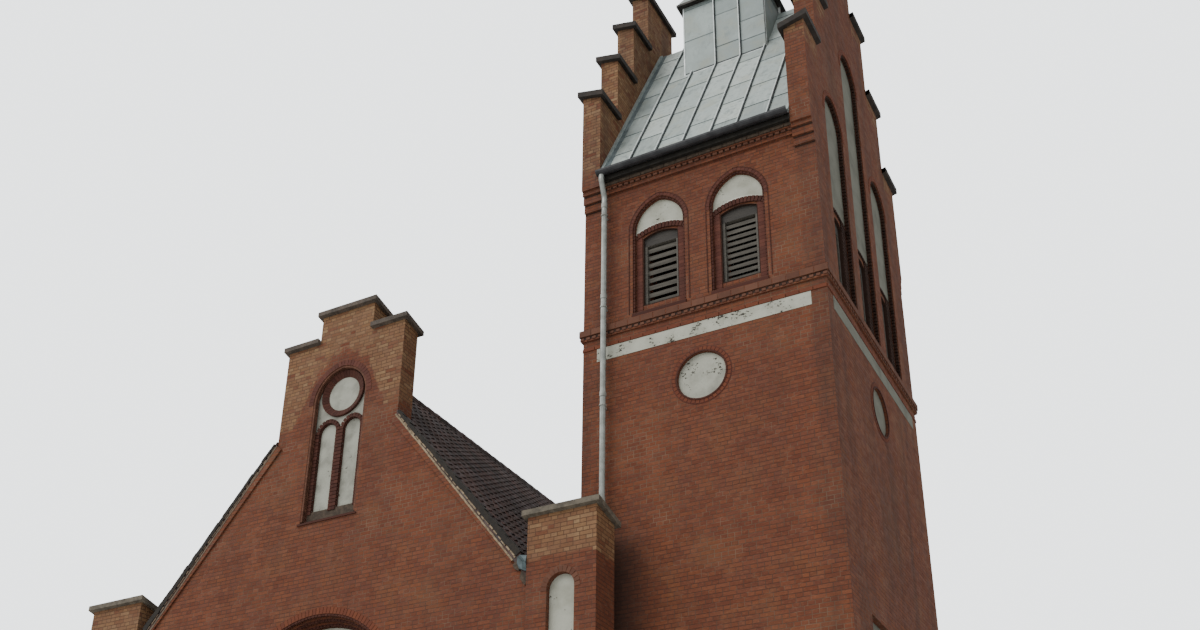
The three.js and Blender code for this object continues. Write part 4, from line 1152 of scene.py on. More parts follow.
def roof_point(face, across, share, lift=0.0):
    """A point on the tower's roof, from the eave (0) to the ridge (1), lifted square to the slope."""
    length = math.hypot(ROOF_RUN, ROOF_RISE)
    out = ROOF["eave_out"] - ROOF_RUN * share + lift * ROOF_RISE / length
    return face.at(across, ROOF["eave"] + ROOF_RISE * share + lift * ROOF_RUN / length, out)


def roof_strip(maker, face, outline, lift):
    """A flat strip on the roof's slope. Its outline is across and from the eave (0) to the ridge (1)."""
    top = [roof_point(face, u, s, lift) for u, s in outline]
    maker.between(top, [roof_point(face, u, s) for u, s in outline])


def zinc_sheets(side):
    """The sheets of one slope with their laps, seams and folds, and the upstands at its two ends."""
    face = TOWER[side]
    sheets = Maker(7 if side == "front" else 8)
    laps, seam, fold, upstand, channel = (Maker() for _ in range(5))
    left_end, right_end = ROOF["left"], ROOF["right"]
    edges = (left_end, *SEAMS, right_end)
    for left, right in zip(edges, edges[1:]):
        share = 0.0
        length = sheets.random.uniform(0.08, 0.2)
        while share < 1.0:
            top = min(share + length, 1.0)
            lift = sheets.random.uniform(0.003, 0.006)
            corners = rectangle(left + 0.004, right - 0.004, share, top)
            lifts = [lift + 0.006, lift + 0.006, lift, lift]
            front = [roof_point(face, u, s, rise) for (u, s), rise in zip(corners, lifts)]
            sheets.between(front, [roof_point(face, u, s, -0.004) for u, s in corners])
            if share > 0:
                # a dark lap line over each joint: its stain, and painted shadow under the sheet's lifted
                # edge
                strip = rectangle(left + 0.02, right - 0.02, share - 0.0012, share + 0.0004)
                roof_strip(laps, face, strip, 0.014)
            share = top
            length = sheets.random.uniform(0.14, 0.22)
    # the seams are dark as painted shade on their flanks, the folds bright as a painted highlight on their
    # tops
    for across in SEAMS:
        for edge, (start, end, high) in ((seam, SEAM), (fold, FOLD)):
            roof_strip(edge, face, rectangle(across + start, across + end, 0.0, 1.0), high)
    roof_strip(upstand, face, rectangle(left_end, left_end + 0.07, 0.0, 1.0), 0.05)
    roof_strip(channel, face, rectangle(left_end + 0.07, left_end + 0.17, 0.0, 1.0), 0.016)
    roof_strip(upstand, face, rectangle(right_end - 0.05, right_end, 0.0, 1.0), 0.05)
    for maker, name, finish in (
        (laps, "laps", "flashing"),
        (sheets, "sheets", "zinc_sheets"),
        (seam, "seams", "dark_zinc"),
        (fold, "folds", "bright_zinc"),
        (upstand, "upstands", "light_flashing"),
        (channel, "channel", "flashing"),
    ):
        maker.done(f"tower_{side}_roof_{name}", finish, "zinc")


def turret_sheets():
    """Upright sheets on the turret's walls, with seams that carry on those of the roof."""
    sheets = Maker(5)
    seam, fold, laps, eave = (Maker() for _ in range(4))
    half, top_edge = TURRET["half"], TURRET["top"]
    slope = ROOF_RISE / ROOF_RUN
    foot = ROOF["ridge"] - slope * half
    faces = (
        (Face(TOWER_X, TOWER_Y - half, (1, 0), (0, -1)), False),
        (Face(TOWER_X, TOWER_Y + half, (-1, 0), (0, 1)), False),
        (Face(TOWER_X + half, TOWER_Y, (0, 1), (1, 0)), True),
        (Face(TOWER_X - half, TOWER_Y, (0, -1), (-1, 0)), True),
    )
    for face, gabled in faces:
        columns = (-half, 0.0, half) if gabled else (-half, *SEAMS[2:4], half)
        for column, (left, right) in enumerate(zip(columns, columns[1:])):
            low = foot + 0.02
            for top in (*TURRET_JOINTS[column], top_edge):
                outline = rectangle(left, right, low, top)
                if gabled:
                    outline = [(u, max(z, ROOF["ridge"] - slope * abs(u) + 0.02)) for u, z in outline]
                if outline[2][1] - outline[1][1] > 0.01 or outline[3][1] - outline[0][1] > 0.01:
                    sheets.slab(face, outline, 0.0, sheets.random.uniform(0.003, 0.007))
                    if top < top_edge:
                        # a dark lap line over each joint: its stain, and painted shadow under the sheet's
                        # lifted edge
                        joint = outline[2][1]
                        lap = rectangle(left + 0.02, right - 0.02, joint - 0.005, joint + 0.005)
                        laps.slab(face, lap, 0.0, 0.012)
                low = top
        for across in columns[1:-1]:
            low = ROOF["ridge"] if gabled else foot
            for edge, (start, end, high) in ((seam, SEAM), (fold, FOLD)):
                edge.slab(face, rectangle(across + start, across + end, low, top_edge), 0.0, high)
        # the corner and foot strips: the dark ones are painted shade, the bright ones a painted highlight
        seam.slab(face, rectangle(half - 0.012, half + 0.012, foot, top_edge), 0.0, 0.012)
        fold.slab(face, rectangle(-half - 0.012, 0.014 - half, foot, top_edge), 0.0, 0.014)
        if not gabled:
            fold.slab(face, rectangle(-half, half, foot - 0.010, foot + 0.014), 0.0, 0.008)
            seam.slab(face, rectangle(-half, half, foot + 0.014, foot + 0.050), 0.0, 0.010)
    sheets.done("turret_sheets", "turret_zinc", "zinc")
    seam.done("turret_seams", "dark_zinc", "zinc")
    fold.done("turret_folds", "bright_zinc", "zinc")
    laps.done("turret_laps", "flashing", "zinc")
    reach = half + TURRET["eave"] + 0.004
    low = (TOWER_X - reach, TOWER_Y - reach, top_edge - 0.012)
    eave.box(low, (TOWER_X + reach, TOWER_Y + reach, top_edge + 0.05))
    eave.done("turret_eave_board", "gutter", "dark_metal")


def eave_board(side):
    """A board down the front of the eave and one under it."""
    maker = Maker()
    left, right, front = ROOF["left"], ROOF["right"], ROOF["eave_out"]
    low = ROOF["eave"] - 0.175
    maker.slab(TOWER[side], rectangle(left, right, low, ROOF["eave"] - 0.01), front - 0.01, front + 0.004)
    maker.slab(TOWER[side], rectangle(left, right, low - 0.012, low), 0.0, front + 0.004)
    maker.done(f"tower_{side}_eave_boards", "gutter", "dark_metal")


PIPE = {"across": -1.92, "out": 0.15, "radius": 0.055, "foot": 0.15, "joint": 15.62, "length": 2.15}


def pipe_fittings(side):
    """A sleeve at each joint of the rain pipe, and a ring with its stay under each sleeve."""
    face = TOWER[side]
    across = PIPE["across"] if side == "front" else -PIPE["across"]
    out = PIPE["out"]
    maker = Maker()
    up = PIPE["joint"] + PIPE["length"]
    while up > PIPE["foot"]:
        maker.tube(face.at(across, up - 0.05, out), face.at(across, up + 0.05, out), PIPE["radius"] + 0.008)
        maker.tube(face.at(across, up - 0.25, out), face.at(across, up - 0.22, out), PIPE["radius"] + 0.012)
        maker.slab(face, rectangle(across - 0.012, across + 0.012, up - 0.25, up - 0.22), 0.0, out)
        up -= PIPE["length"]
    maker.done(f"tower_{side}_pipe_fittings", "pipe", "dark_metal")


# The nave's gables: tracery, piers, the great arch

NICHE = {"half": 0.665, "sill": 11.75, "springing": 14.45, "rise": 0.72, "plate": 0.13, "panel": 0.25}
LIGHT = {"offset": 0.30, "half": 0.21, "sill": 12.02, "springing": 13.745, "rise": 0.215}
ROSE = {"up": 14.58, "radius": 0.375}


def niche_head(side):
    """Dark brick over the roundel, in wedges between its ring of bricks and the niche's arch."""
    maker = Maker()
    front = -NICHE["plate"]
    half = NICHE["half"] - 0.006
    radius = (half**2 + NICHE["rise"] ** 2) / (2 * half)
    low = NICHE["springing"] - ROSE["up"]
    outer, inner = [], []
    for degrees in range(14, 167, 8):
        turn = math.radians(degrees)
        arc_centre = math.copysign(half - radius, math.cos(turn))
        along = math.cos(turn) * arc_centre + math.sin(turn) * low
        reach = along + math.sqrt(along**2 - arc_centre**2 - low**2 + radius**2)
        for points, distance in ((outer, reach), (inner, ROSE["radius"] + 0.122)):
            points.append((distance * math.cos(turn), ROSE["up"] + distance * math.sin(turn)))
    for i in range(len(outer) - 1):
        wedge = [outer[i], outer[i + 1], inner[i + 1], inner[i]]
        maker.slab(GABLE[side], wedge, front - 0.01, front + 0.012)
    maker.done(f"{side}_gable_niche_head", "sooty_brick", "red_brick")


def niche_linings(side):
    """Brick inside the two lights and the niche, and the plaster behind the roundel and the lights."""
    face = GABLE[side]
    front, back = -NICHE["plate"], -NICHE["panel"]
    lining, reveal, panels = Maker(), Maker(), Maker()
    edges = [inset_outline(0, NICHE, inset) for inset in (0.002, 0.012)]
    # the niche's reveal is lined in the paler band brick, painted light on sides that stand in shade
    reveal.ring(face, *edges, front + 0.01, -0.012)
    rose = circle_line(0, ROSE["up"], ROSE["radius"] - 0.002, 44)
    panels.slab(face, rose, back, front - 0.004)
    for centre in (-LIGHT["offset"], LIGHT["offset"]):
        edges = [inset_outline(centre, LIGHT, inset) for inset in (0.002, 0.010)]
        lining.ring(face, *edges, back, front + 0.004)
        panels.slab(face, inset_outline(centre, LIGHT, 0.011), back, front - 0.03)
    lining.done(f"{side}_gable_niche_linings", "dark_brick", "red_brick")
    reveal.done(f"{side}_gable_niche_reveal", "band_brick", "red_brick")
    panels.done(f"{side}_gable_niche_panels", "stained_plaster", "plaster")


ROSE_BRICKS = 38
ROSE_SPLAY = ((0.376, -0.129), (0.502, -0.072), (0.522, -0.072), (0.522, -0.131))


def rose_ring(side):
    """Splayed bricks round the gable's roundel, each a wedge with its section in radius and depth."""
    maker = Maker()
    for i in range(ROSE_BRICKS):
        ends = []
        for part in (0.03, 0.97):
            turn = math.tau * (i + part) / ROSE_BRICKS
            across, up = math.cos(turn), math.sin(turn)
            ends.append([GABLE[side].at(r * across, ROSE["up"] + r * up, out) for r, out in ROSE_SPLAY])
        maker.between(*ends)
    turn_outward(maker.done(f"{side}_gable_rose_ring", "dark_brick", "red_brick"))


def tracery_bricks(side):
    """The rings of the roundel, the two lights and the niche, with its jambs, foot, beads and sill."""
    face = GABLE[side]
    name = f"{side}_gable_niche"
    front, sill = -NICHE["plate"], NICHE["sill"]
    foot = sill + 0.05
    rose_ring(side)
    rings = []
    for centre in (-LIGHT["offset"], LIGHT["offset"]):
        rings.append(arch_path(face, centre, LIGHT, front + 0.012, 0.045, LIGHT["sill"]))
    lay(f"{side}_gable_light_rings", rings, BRICK, (0.070, 0.05, 0.09), face.out, "dark_brick")
    jambs = [straight(face, (across, foot), (across, 13.75), front + 0.006) for across in (-0.633, 0.633)]
    lay(f"{name}_jambs", jambs, BRICK, (0.070, 0.03, 0.062), face.out, "ring_brick")
    niche_head(side)
    niche_linings(side)
    footing = Maker()
    footing.slab(face, rectangle(-0.655, 0.655, foot, LIGHT["sill"] + 0.01), front - 0.01, front + 0.02)
    footing.done(f"{name}_foot", "sooty_band", "plaster")
    ring = [arch_path(face, 0, NICHE, 0.0, 0.06)]
    lay(f"{name}_ring", ring, HEADER, (0.077, 0.014, 0.12), face.out, "ring_brick")
    edges = ((-0.03, -0.022), (-0.085, -0.026))
    beads = [arch_path(face, 0, NICHE, out, step, sill + 0.1) for out, step in edges]
    lay(f"{name}_beads", beads, BRICK, (0.0765, 0.042, 0.044), face.out, "band_brick", uneven=0.01)
    sills = Maker()
    sills.sill(face, 0, 0.66, sill + 0.003, (sill + 0.02, 0.012), (sill + 0.11, front))
    sills.slab(face, rectangle(-0.71, 0.71, sill - 0.024, sill + 0.003), 0.0, 0.024)
    sills.done(f"{name}_sill", "dark_brick", "red_brick")


PIER = {"middle": 5.255, "front": 0.06, "depth": 0.11}
PIER_NICHE = round_headed(0.265, sill=6.4, springing=9.415)


def pier_dress(side):
    """Plaster in the piers' niches, and the ring of bricks over each."""
    face = GABLE[side]
    maker = Maker()
    rings = []
    back = PIER["front"] - PIER["depth"]
    for centre in (-PIER["middle"], PIER["middle"]):
        maker.slab(face, inset_outline(centre, PIER_NICHE, 0.003), back, back + PLATE)
        rings.append(arch_path(face, centre, PIER_NICHE, PIER["front"], 0.055))
    maker.done(f"{side}_pier_panels", "plaster", "plaster")
    lay(f"{side}_pier_rings", rings, HEADER, SHORT_HEADER, face.out, "band_brick")


ARCH = {"radii": (1.95, 1.885, 1.82), "springing": 7.85, "sill": 4.3, "step": 0.11, "windows": 0.76}
ARCH_WINDOW = round_headed(0.52, sill=4.6, springing=7.1)


def great_arch():
    """The outer ring of the front arch, a bead on each of its steps, and the plaster in its head."""
    face = GABLE["front"]
    sill, springing = ARCH["sill"], ARCH["springing"]
    edges = [round_headed(radius, sill, springing) for radius in ARCH["radii"]]
    ring = [arch_path(face, 0, edges[0], 0.0, 0.065, sill)]
    lay("front_arch_ring", ring, HEADER, ARCH_HEADER, face.out, "moulded_brick")
    beads = []
    for number, edge in enumerate(edges):
        beads.append(arch_path(face, 0, edge, -ARCH["step"] * number - 0.03, -0.02, sill))
    lay("front_arch_beads", beads, BRICK, (0.070, 0.05, 0.04), face.out, "dark_brick")
    maker = Maker()
    depth = 3 * ARCH["step"]
    radius = ARCH["radii"][-1] - 0.05
    maker.slab(face, arch_line(0, radius, springing, radius, 20), -depth, PLATE - depth)
    maker.done("front_arch_plaster", "plaster", "plaster")


# Roof tiles of the nave

NAVE_ROOF = {"slope": 1.22, "underside": 15.31, "thick": 0.24, "eave": 5.34, "verge": 0.03, "length": 18.0}
# The length of the slope for each metre across
SLOPE_LENGTH = math.hypot(1, NAVE_ROOF["slope"])
TILE = {"width": 0.205, "row": 0.30, "long": 0.34, "wave": 0.022, "thick": 0.012, "lift": 0.012}
# A pantile's section: its parts, how much wider and further round than its place, and its ends' lift
TILE_SHAPE = {"parts": 8, "cover": 1.12, "turn": 1.06, "tail": 0.030, "head": 0.008}
# Where rows end short of the gables: inside the raised top, beside the piers, and behind the tower
TOP_END = {"across": 1.59, "margin": 0.44}
PIER_END = {"across": 4.50, "margin": 0.60}
TOWER_END = {"across": 4.98, "margin": 0.02}


def slope_point(hand, down, back, lift=0.0):
    """A point on the nave's roof: metres down the slope from the ridge, and back from the gable."""
    slope, length = NAVE_ROOF["slope"], SLOPE_LENGTH
    across = down / length + lift * slope / length
    up = NAVE_ROOF["underside"] + NAVE_ROOF["thick"] - slope * down / length + lift / length
    return at_nave(hand * across, back, up)


def tile_template():
    """One pantile: a wave across its width, a little thick, with its tail lifted over the next row."""
    steps = TILE_SHAPE["parts"]
    points, faces = [], []
    for level in (0.0, -TILE["thick"]):
        for tail in (0.0, 1.0):
            for step in range(steps + 1):
                share = step / steps
                across = (share - 0.5) * TILE["width"] * TILE_SHAPE["cover"]
                wave = TILE["wave"] * math.sin(2 * math.pi * share * TILE_SHAPE["turn"])
                out = wave + level + TILE_SHAPE["tail" if tail else "head"]
                points.append((across, out, TILE["long"] * (0.5 - tail)))
    row = steps + 1
    for step in range(steps):
        faces.append((step, step + 1, row + step + 1, row + step))
        faces.append((2 * row + step, 3 * row + step, 3 * row + step + 1, 2 * row + step + 1))
        for tail in (0, 1):
            a, b = tail * row + step, tail * row + step + 1
            c, d = 2 * row + b, 2 * row + a
            faces.append((b, a, d, c) if tail == 0 else (a, b, c, d))
    for edge in (0, steps):
        a, b = edge, row + edge
        c, d = 3 * row + edge, 2 * row + edge
        faces.append((a, b, c, d) if edge == 0 else (b, a, d, c))
    return turn_outward(template("pantile", points, faces))


def pantiles():
    """Rows of pantiles on both slopes, from the ridge down to the eave."""
    tile = tile_template()
    for name, hand in (("left", -1), ("right", 1)):
        paths = []
        down = 0.20
        while down < NAVE_ROOF["eave"] * SLOPE_LENGTH - 0.05:
            across = down / SLOPE_LENGTH
            margin = NAVE_ROOF["verge"]
            if across < TOP_END["across"]:
                margin = TOP_END["margin"]
            elif across > PIER_END["across"]:
                margin = PIER_END["margin"]
            start, end = margin, NAVE_ROOF["length"] - margin
            if hand > 0 and across > TOWER_END["across"]:
                start = TOWER_BACK - GABLE_Y + TOWER_END["margin"]
            near = slope_point(hand, down, start + TILE["width"] / 2, TILE["lift"])
            far = slope_point(hand, down, end - TILE["width"] / 2, TILE["lift"])
            paths.append(([near, far] if hand < 0 else [far, near], False))
            down += TILE["row"]
        out = slope_point(hand, 1.0, 0.0, 1.0) - slope_point(hand, 1.0, 0.0, 0.0)
        name = f"nave_{name}_pantiles"
        lay(name, paths, TILE["width"], (1, 1, 1), out, "tile", "pantile", piece=tile, uneven=0.03, seed=11)


# From where to where across the mortar runs, and its two lines' height against the tiles: at the top, and
# what is added to it down to the foot
VERGE = {"start": 1.52, "end": 4.40, "lower": (-0.055, -0.10), "upper": (-0.018, -0.065)}


def verge(side):
    """Two lines of mortar under each verge, with bricks under them and the tiles' ends over them."""
    mortar, worn, tails, bricks = Maker(2), Maker(5), Maker(3), Maker(4)
    depth = {"front": 0.0, "back": NAVE_ROOF["length"]}[side]
    sign = -1 if side == "front" else 1
    edge = depth + sign * NAVE_ROOF["verge"]
    for hand, fill in ((-1, worn), (1, mortar)):
        start, end = VERGE["start"] * SLOPE_LENGTH, VERGE["end"] * SLOPE_LENGTH
        down = start
        while down < end:
            stop = min(down + TILE["row"] / 2, end)
            share = (down - start) / (end - start)
            lower, upper = (top + more * share for top, more in (VERGE["lower"], VERGE["upper"]))
            patch = down + fill.random.uniform(0.0, 0.07)
            # each strip: where it begins, its lower and upper edge, how far out and in, and how it wanders
            for maker, begin, low, high, out, back, wander in (
                (fill, patch, upper - 0.016, upper + 0.014, 0.012, 0.02, 0.010),
                (fill, down, lower - 0.018, lower + 0.016, 0.012, 0.02, 0.003),
                (bricks, down, -0.205, lower - 0.010, 0.006, 0.02, 0.0),
                # the tiles' ends are dark with moss and with painted shade under the tiles
                (tails, down, upper + 0.014, 0.05, 0.022, 0.12, 0.013),
            ):
                drop = maker.random.uniform(-wander, wander)
                fall = 0.01 * (stop - down)
                corners = ((begin, low), (stop, low - fall), (stop, high - fall), (begin, high))
                front = [slope_point(hand, d, edge + sign * out, v + drop) for d, v in corners]
                rear = [slope_point(hand, d, edge - sign * back, v + drop) for d, v in corners]
                maker.between(front, rear)
            down = stop
    for maker, name, finish, slot in (
        (mortar, "right_verge_mortar", "mortar", "plaster"),
        (worn, "left_verge_mortar", "worn_mortar", "plaster"),
        (bricks, "verge_bricks", "wall_brick", "red_brick"),
        (tails, "verge_tiles", "tile_edge", "pantile"),
    ):
        turn_outward(maker.done(f"{side}_{name}", finish, slot))


RIDGE = {"up": 15.485, "start": 0.46, "margin": 0.45, "long": 0.36, "lap": 0.02}


def ridge_tiles():
    """Half-round ridge tiles, each lapped a little over the next."""
    maker = Maker(4)
    back = RIDGE["start"]
    last = NAVE_ROOF["length"] - RIDGE["margin"]
    turns = [math.radians(-30 + 240 * step / 14) for step in range(15)]
    while back < last - 0.05:
        stop = min(back + RIDGE["long"], last)
        up = RIDGE["up"] + maker.random.uniform(0.0, 0.008)
        rims = []
        for depth, radius in ((back, 0.150), (stop, 0.138)):
            rims.append([at_nave(radius * math.cos(t), depth, up + radius * math.sin(t)) for t in turns])
        maker.between(*rims)
        back = stop - RIDGE["lap"]
    maker.done("nave_ridge_tile_caps", "tile", "pantile")


# Corners of the crumpled sheet: across, up and out from the gable, in metres
CRUMPLE_POINTS = (
    (4.385, 10.12, 0.050), (4.455, 10.13, 0.088), (4.575, 10.11, 0.060),
    (4.395, 9.985, 0.080), (4.485, 10.01, 0.042), (4.575, 9.98, 0.090),
    (4.425, 9.89, 0.050), (4.505, 9.85, 0.088), (4.575, 9.825, 0.050),
)
CRUMPLES = ((0, 3, 4), (0, 4, 1), (1, 4, 5), (1, 5, 2), (3, 6, 7), (3, 7, 4), (4, 7, 8), (4, 8, 5))
BRACKETS = (
    (((4.29, 9.98), (4.34, 9.90), (4.42, 9.86), (4.41, 9.99), (4.36, 10.05)), 0.047),
    (((4.43, 9.73), (4.53, 9.58), (4.57, 9.62), (4.575, 9.82), (4.46, 9.86)), 0.028),
)


def verge_flashings(side):
    """The crumpled sheet that closes the foot of each verge beside its pier, and the mortar under it."""
    face = GABLE[side]
    sheet, under = Maker(), Maker()
    for hand in (-1, 1):
        for corners in CRUMPLES:
            corners = [CRUMPLE_POINTS[i] for i in (corners if hand > 0 else corners[::-1])]
            front = [face.at(hand * across, up, out) for across, up, out in corners]
            back = [face.at(hand * across, up, 0.0) for across, up, out in corners]
            sheet.between(front, back)
        for outline, out in BRACKETS:
            outline = [(hand * across, up) for across, up in outline]
            under.slab(face, outline if hand > 0 else outline[::-1], 0.0, out)
    sheet.done(f"{side}_verge_flashings", "crumpled_zinc", "zinc")
    under.done(f"{side}_verge_brackets", "sooty_band", "plaster")


# Windows and door


def glazing_bars(name, face, centre, opening, out, columns, row):
    """A round-headed frame with its upright bars, and a level bar at every row."""
    half, sill, springing = opening["half"], opening["sill"], opening["springing"]
    maker = Maker()
    for column in range(1, columns):
        across = -half + 2 * half * column / columns
        top = springing + math.sqrt(max(half**2 - across**2, 0.0)) - 0.02
        left = centre + across - 0.012
        maker.slab(face, rectangle(left, left + 0.024, sill + 0.03, top), out, out + 0.035)
    up = sill + row
    while up < springing + half - 0.1:
        reach = (half if up < springing else math.sqrt(half**2 - (up - springing) ** 2)) - 0.02
        maker.slab(face, rectangle(centre - reach, centre + reach, up - 0.01, up + 0.01), out, out + 0.03)
        up += row
    edges = [inset_outline(centre, opening, inset) for inset in (0.0, 0.06)]
    maker.ring(face, *edges, out, out + 0.05)
    maker.done(name, "iron", "dark_metal")


def window_surround(name, face, centre, opening, out=0.0):
    """Headers over the round head, and a sloping sill under the opening and inside it."""
    ring = [arch_path(face, centre, opening, out, 0.065)]
    lay(f"{name}_arch", ring, HEADER, ARCH_HEADER, face.out, "moulded_brick")
    maker = Maker()
    half, sill = opening["half"], opening["sill"]
    maker.sill(face, centre, half + 0.06, sill - 0.07, (sill - 0.005, out + 0.05), (sill + 0.004, out))
    maker.sill(face, centre, half - 0.004, sill + 0.001, (sill + 0.006, out), (sill + 0.06, out - 0.2))
    maker.done(f"{name}_sill", "coping", "concrete_coping")


SIDE_WINDOW = round_headed(0.55, sill=3.6, springing=7.3)
WINDOW_PLACES = {"left": (2.7, 6.9, 11.1, 15.3), "right": (8.0, 11.65, 15.3)}
NAVE_HALF = 5.04
NAVE_WALL = 0.51


def windows():
    """The bars, the brick heads and the sills of the front's and the sides' windows."""
    for name, hand in (("left", -1), ("right", 1)):
        name = f"front_window_{name}"
        centre = hand * ARCH["windows"]
        glazing_bars(f"{name}_bars", GABLE["front"], centre, ARCH_WINDOW, -0.44, 3, 0.42)
        window_surround(name, GABLE["front"], centre, ARCH_WINDOW, -3 * ARCH["step"])
    for side, hand in (("left", -1), ("right", 1)):
        face = Face(NAVE_X + hand * NAVE_HALF, GABLE_Y, (0, hand), (hand, 0))
        for number, back in enumerate(WINDOW_PLACES[side], 1):
            name = f"nave_{side}_window_{number}"
            glazing_bars(f"{name}_bars", face, hand * back, SIDE_WINDOW, -NAVE_WALL + 0.002, 4, 0.46)
            window_surround(name, face, hand * back, SIDE_WINDOW)


DOOR = {"half": 1.15, "springing": 2.3, "out": -0.25, "boards": 14, "hinges": (0.45, 1.35, 2.15)}
PORCH = round_headed(1.5, sill=0.04, springing=2.3)


def door():
    """Boards on the leaf, a meeting post, long hinges, two handles and a ring of brick round the porch."""
    face = GABLE["front"]
    springing, out = DOOR["springing"], DOOR["out"]
    leaf = DOOR["half"] - 0.01
    width = 2 * leaf / DOOR["boards"]
    maker = Maker(9)
    for number in range(DOOR["boards"]):
        left = number * width - leaf
        right = left + width - 0.006
        places = (right, (left + right) / 2, left)
        top = [(u, springing + math.sqrt(max(0.0, leaf**2 - u**2))) for u in places]
        maker.slab(face, [(left, 0.02), (right, 0.02)] + top, out, out + 0.022)
    maker.slab(face, rectangle(-0.05, 0.05, 0.02, springing + DOOR["half"] - 0.03), out, out + 0.05)
    maker.done("main_door_boards", "door", "door_wood")
    iron = Maker()
    for hand in (-1, 1):
        for up in DOOR["hinges"]:
            left, right = sorted((hand * 1.13, hand * 0.35))
            iron.slab(face, rectangle(left, right, up - 0.03, up + 0.03), out + 0.02, out + 0.03)
        grip = hand * 0.12
        iron.tube(face.at(grip, 0.95, out + 0.075), face.at(grip, 1.2, out + 0.075), 0.012)
        for up in (0.96, 1.19):
            iron.tube(face.at(grip, up, out + 0.02), face.at(grip, up, out + 0.08), 0.010)
    iron.done("main_door_irons", "iron", "dark_metal")
    ring = [arch_path(face, 0, PORCH, 0.0, 0.065, PORCH["sill"])]
    lay("main_door_arch", ring, HEADER, ARCH_HEADER, face.out, "moulded_brick")


LOW_NICHES = (-1.15, 1.15)
LOW_PANEL = {"half": 0.625, "low": 8.30, "high": 8.84, "out": -0.115}
LOW_WINDOW = {"half": 0.40, "low": 6.55, "high": 8.20, "frame": 0.05, "bars": (6.96, 7.37, 7.78)}


def low_niches():
    """Plaster in the tower's low niches, and under it their windows with frames and bars."""
    face = TOWER["right"]
    panels, glass, bars = Maker(), Maker(), Maker()
    back, frame_width = LOW_PANEL["out"], LOW_WINDOW["frame"]
    low, high = LOW_WINDOW["low"], LOW_WINDOW["high"]
    for centre in LOW_NICHES:
        half = LOW_PANEL["half"]
        panel = rectangle(centre - half, centre + half, LOW_PANEL["low"], LOW_PANEL["high"])
        panels.slab(face, panel, back, back + PLATE)
        left, right = centre - LOW_WINDOW["half"], centre + LOW_WINDOW["half"]
        pane = rectangle(left, right, low, high)
        glass.slab(face, pane, back + 0.002, back + 0.01)
        edge = rectangle(left - frame_width, right + frame_width, low - frame_width, high + frame_width)
        bars.ring(face, edge, pane, back, -0.07)
        bars.slab(face, rectangle(centre - 0.015, centre + 0.015, low, high), -0.106, -0.08)
        for up in LOW_WINDOW["bars"]:
            bars.slab(face, rectangle(left, right, up - 0.01, up + 0.01), -0.106, -0.085)
    # the right wall's panels take the plaster darkened as painted shade
    panels.done("tower_right_low_panels", "grey_plaster", "plaster")
    glass.done("tower_right_low_windows", "glass", "window_glass")
    bars.done("tower_right_low_frames", "louvre", "louvre_wood")


def dress_tower_masonry():
    for side in TOWER:
        roundel_plaster(side)
        band_plaster(side)
        roundel_ring(side)
        string_dentils(side)
    for side in GABLE_SIDES:
        gable_copings(side)
        lancet_panels(side)
        lancet_mouldings(side)
    for side in EAVE_SIDES:
        belfry_heads(side)
        belfry_mouldings(side)
        cornice_dentils(side)
    low_niches()


def dress_tower_metal():
    for side in EAVE_SIDES:
        zinc_sheets(side)
        eave_board(side)
        pipe_fittings(side)
    turret_sheets()


def dress_nave_masonry():
    for side in GABLE:
        tracery_bricks(side)
        pier_dress(side)
    great_arch()


def dress_nave_roof():
    pantiles()
    ridge_tiles()
    for side in GABLE:
        verge(side)
        verge_flashings(side)


def dress_openings():
    windows()
    door()


def make_operator(label, about, action):
    """An operator class that runs one of the functions above."""

    def execute(self, context):
        action()
        return {"FINISHED"}

    name = label.lower().replace(" ", "_")
    values = {"__doc__": about, "bl_idname": f"church.{name}", "bl_label": label, "execute": execute}
    return type(f"CHURCH_OT_{name}", (bpy.types.Operator,), values)


class BrickworkSettings(bpy.types.PropertyGroup):
    course: FloatProperty(
        name="Course", description="Height of a brick with its joint", default=0.079, unit="LENGTH"
    )
    length: FloatProperty(
        name="Brick", description="Length of a stretcher with its joint", default=0.25, unit="LENGTH"
    )
    joint: FloatProperty(
        name="Joint", description="Thickness of the mortar joints", default=0.012, unit="LENGTH"
    )


class StageSettings(bpy.types.PropertyGroup):
    eye_height: FloatProperty(
        name="Eye height", description="Camera above the ground", default=1.6, unit="LENGTH"
    )
    eye_across: FloatProperty(
        name="Across", description="Camera right of the nave's axis", default=15.305, unit="LENGTH"
    )
    eye_before: FloatProperty(
        name="Before", description="Camera in front of the gable", default=17.40, unit="LENGTH"
    )
    floor_colour: FloatVectorProperty(
        name="Floor", description="Colour of the floor", size=4, default=tone("dcdcd8"), subtype="COLOR"
    )


class CHURCH_OT_finishes(bpy.types.Operator):
    """Make the finishes and put them on the solids"""

    bl_idname = "church.finishes"
    bl_label = "Finishes"

    def execute(self, context):
        make_finishes(context.scene.church_brickwork)
        dress_solids()
        return {"FINISHED"}


# The photograph's view, solved from its parallel edges, in its pixels and in degrees
PHOTO_WIDTH = 1200
PHOTO_HEIGHT = 630
FOCAL_PIXELS = 1288.22
CENTRE_PIXELS = (601.62, 493.49)
YAW, PITCH, ROLL = (math.radians(a) for a in (-28.1643, 25.4606, 0.5052))
SENSOR_WIDTH = 36.0


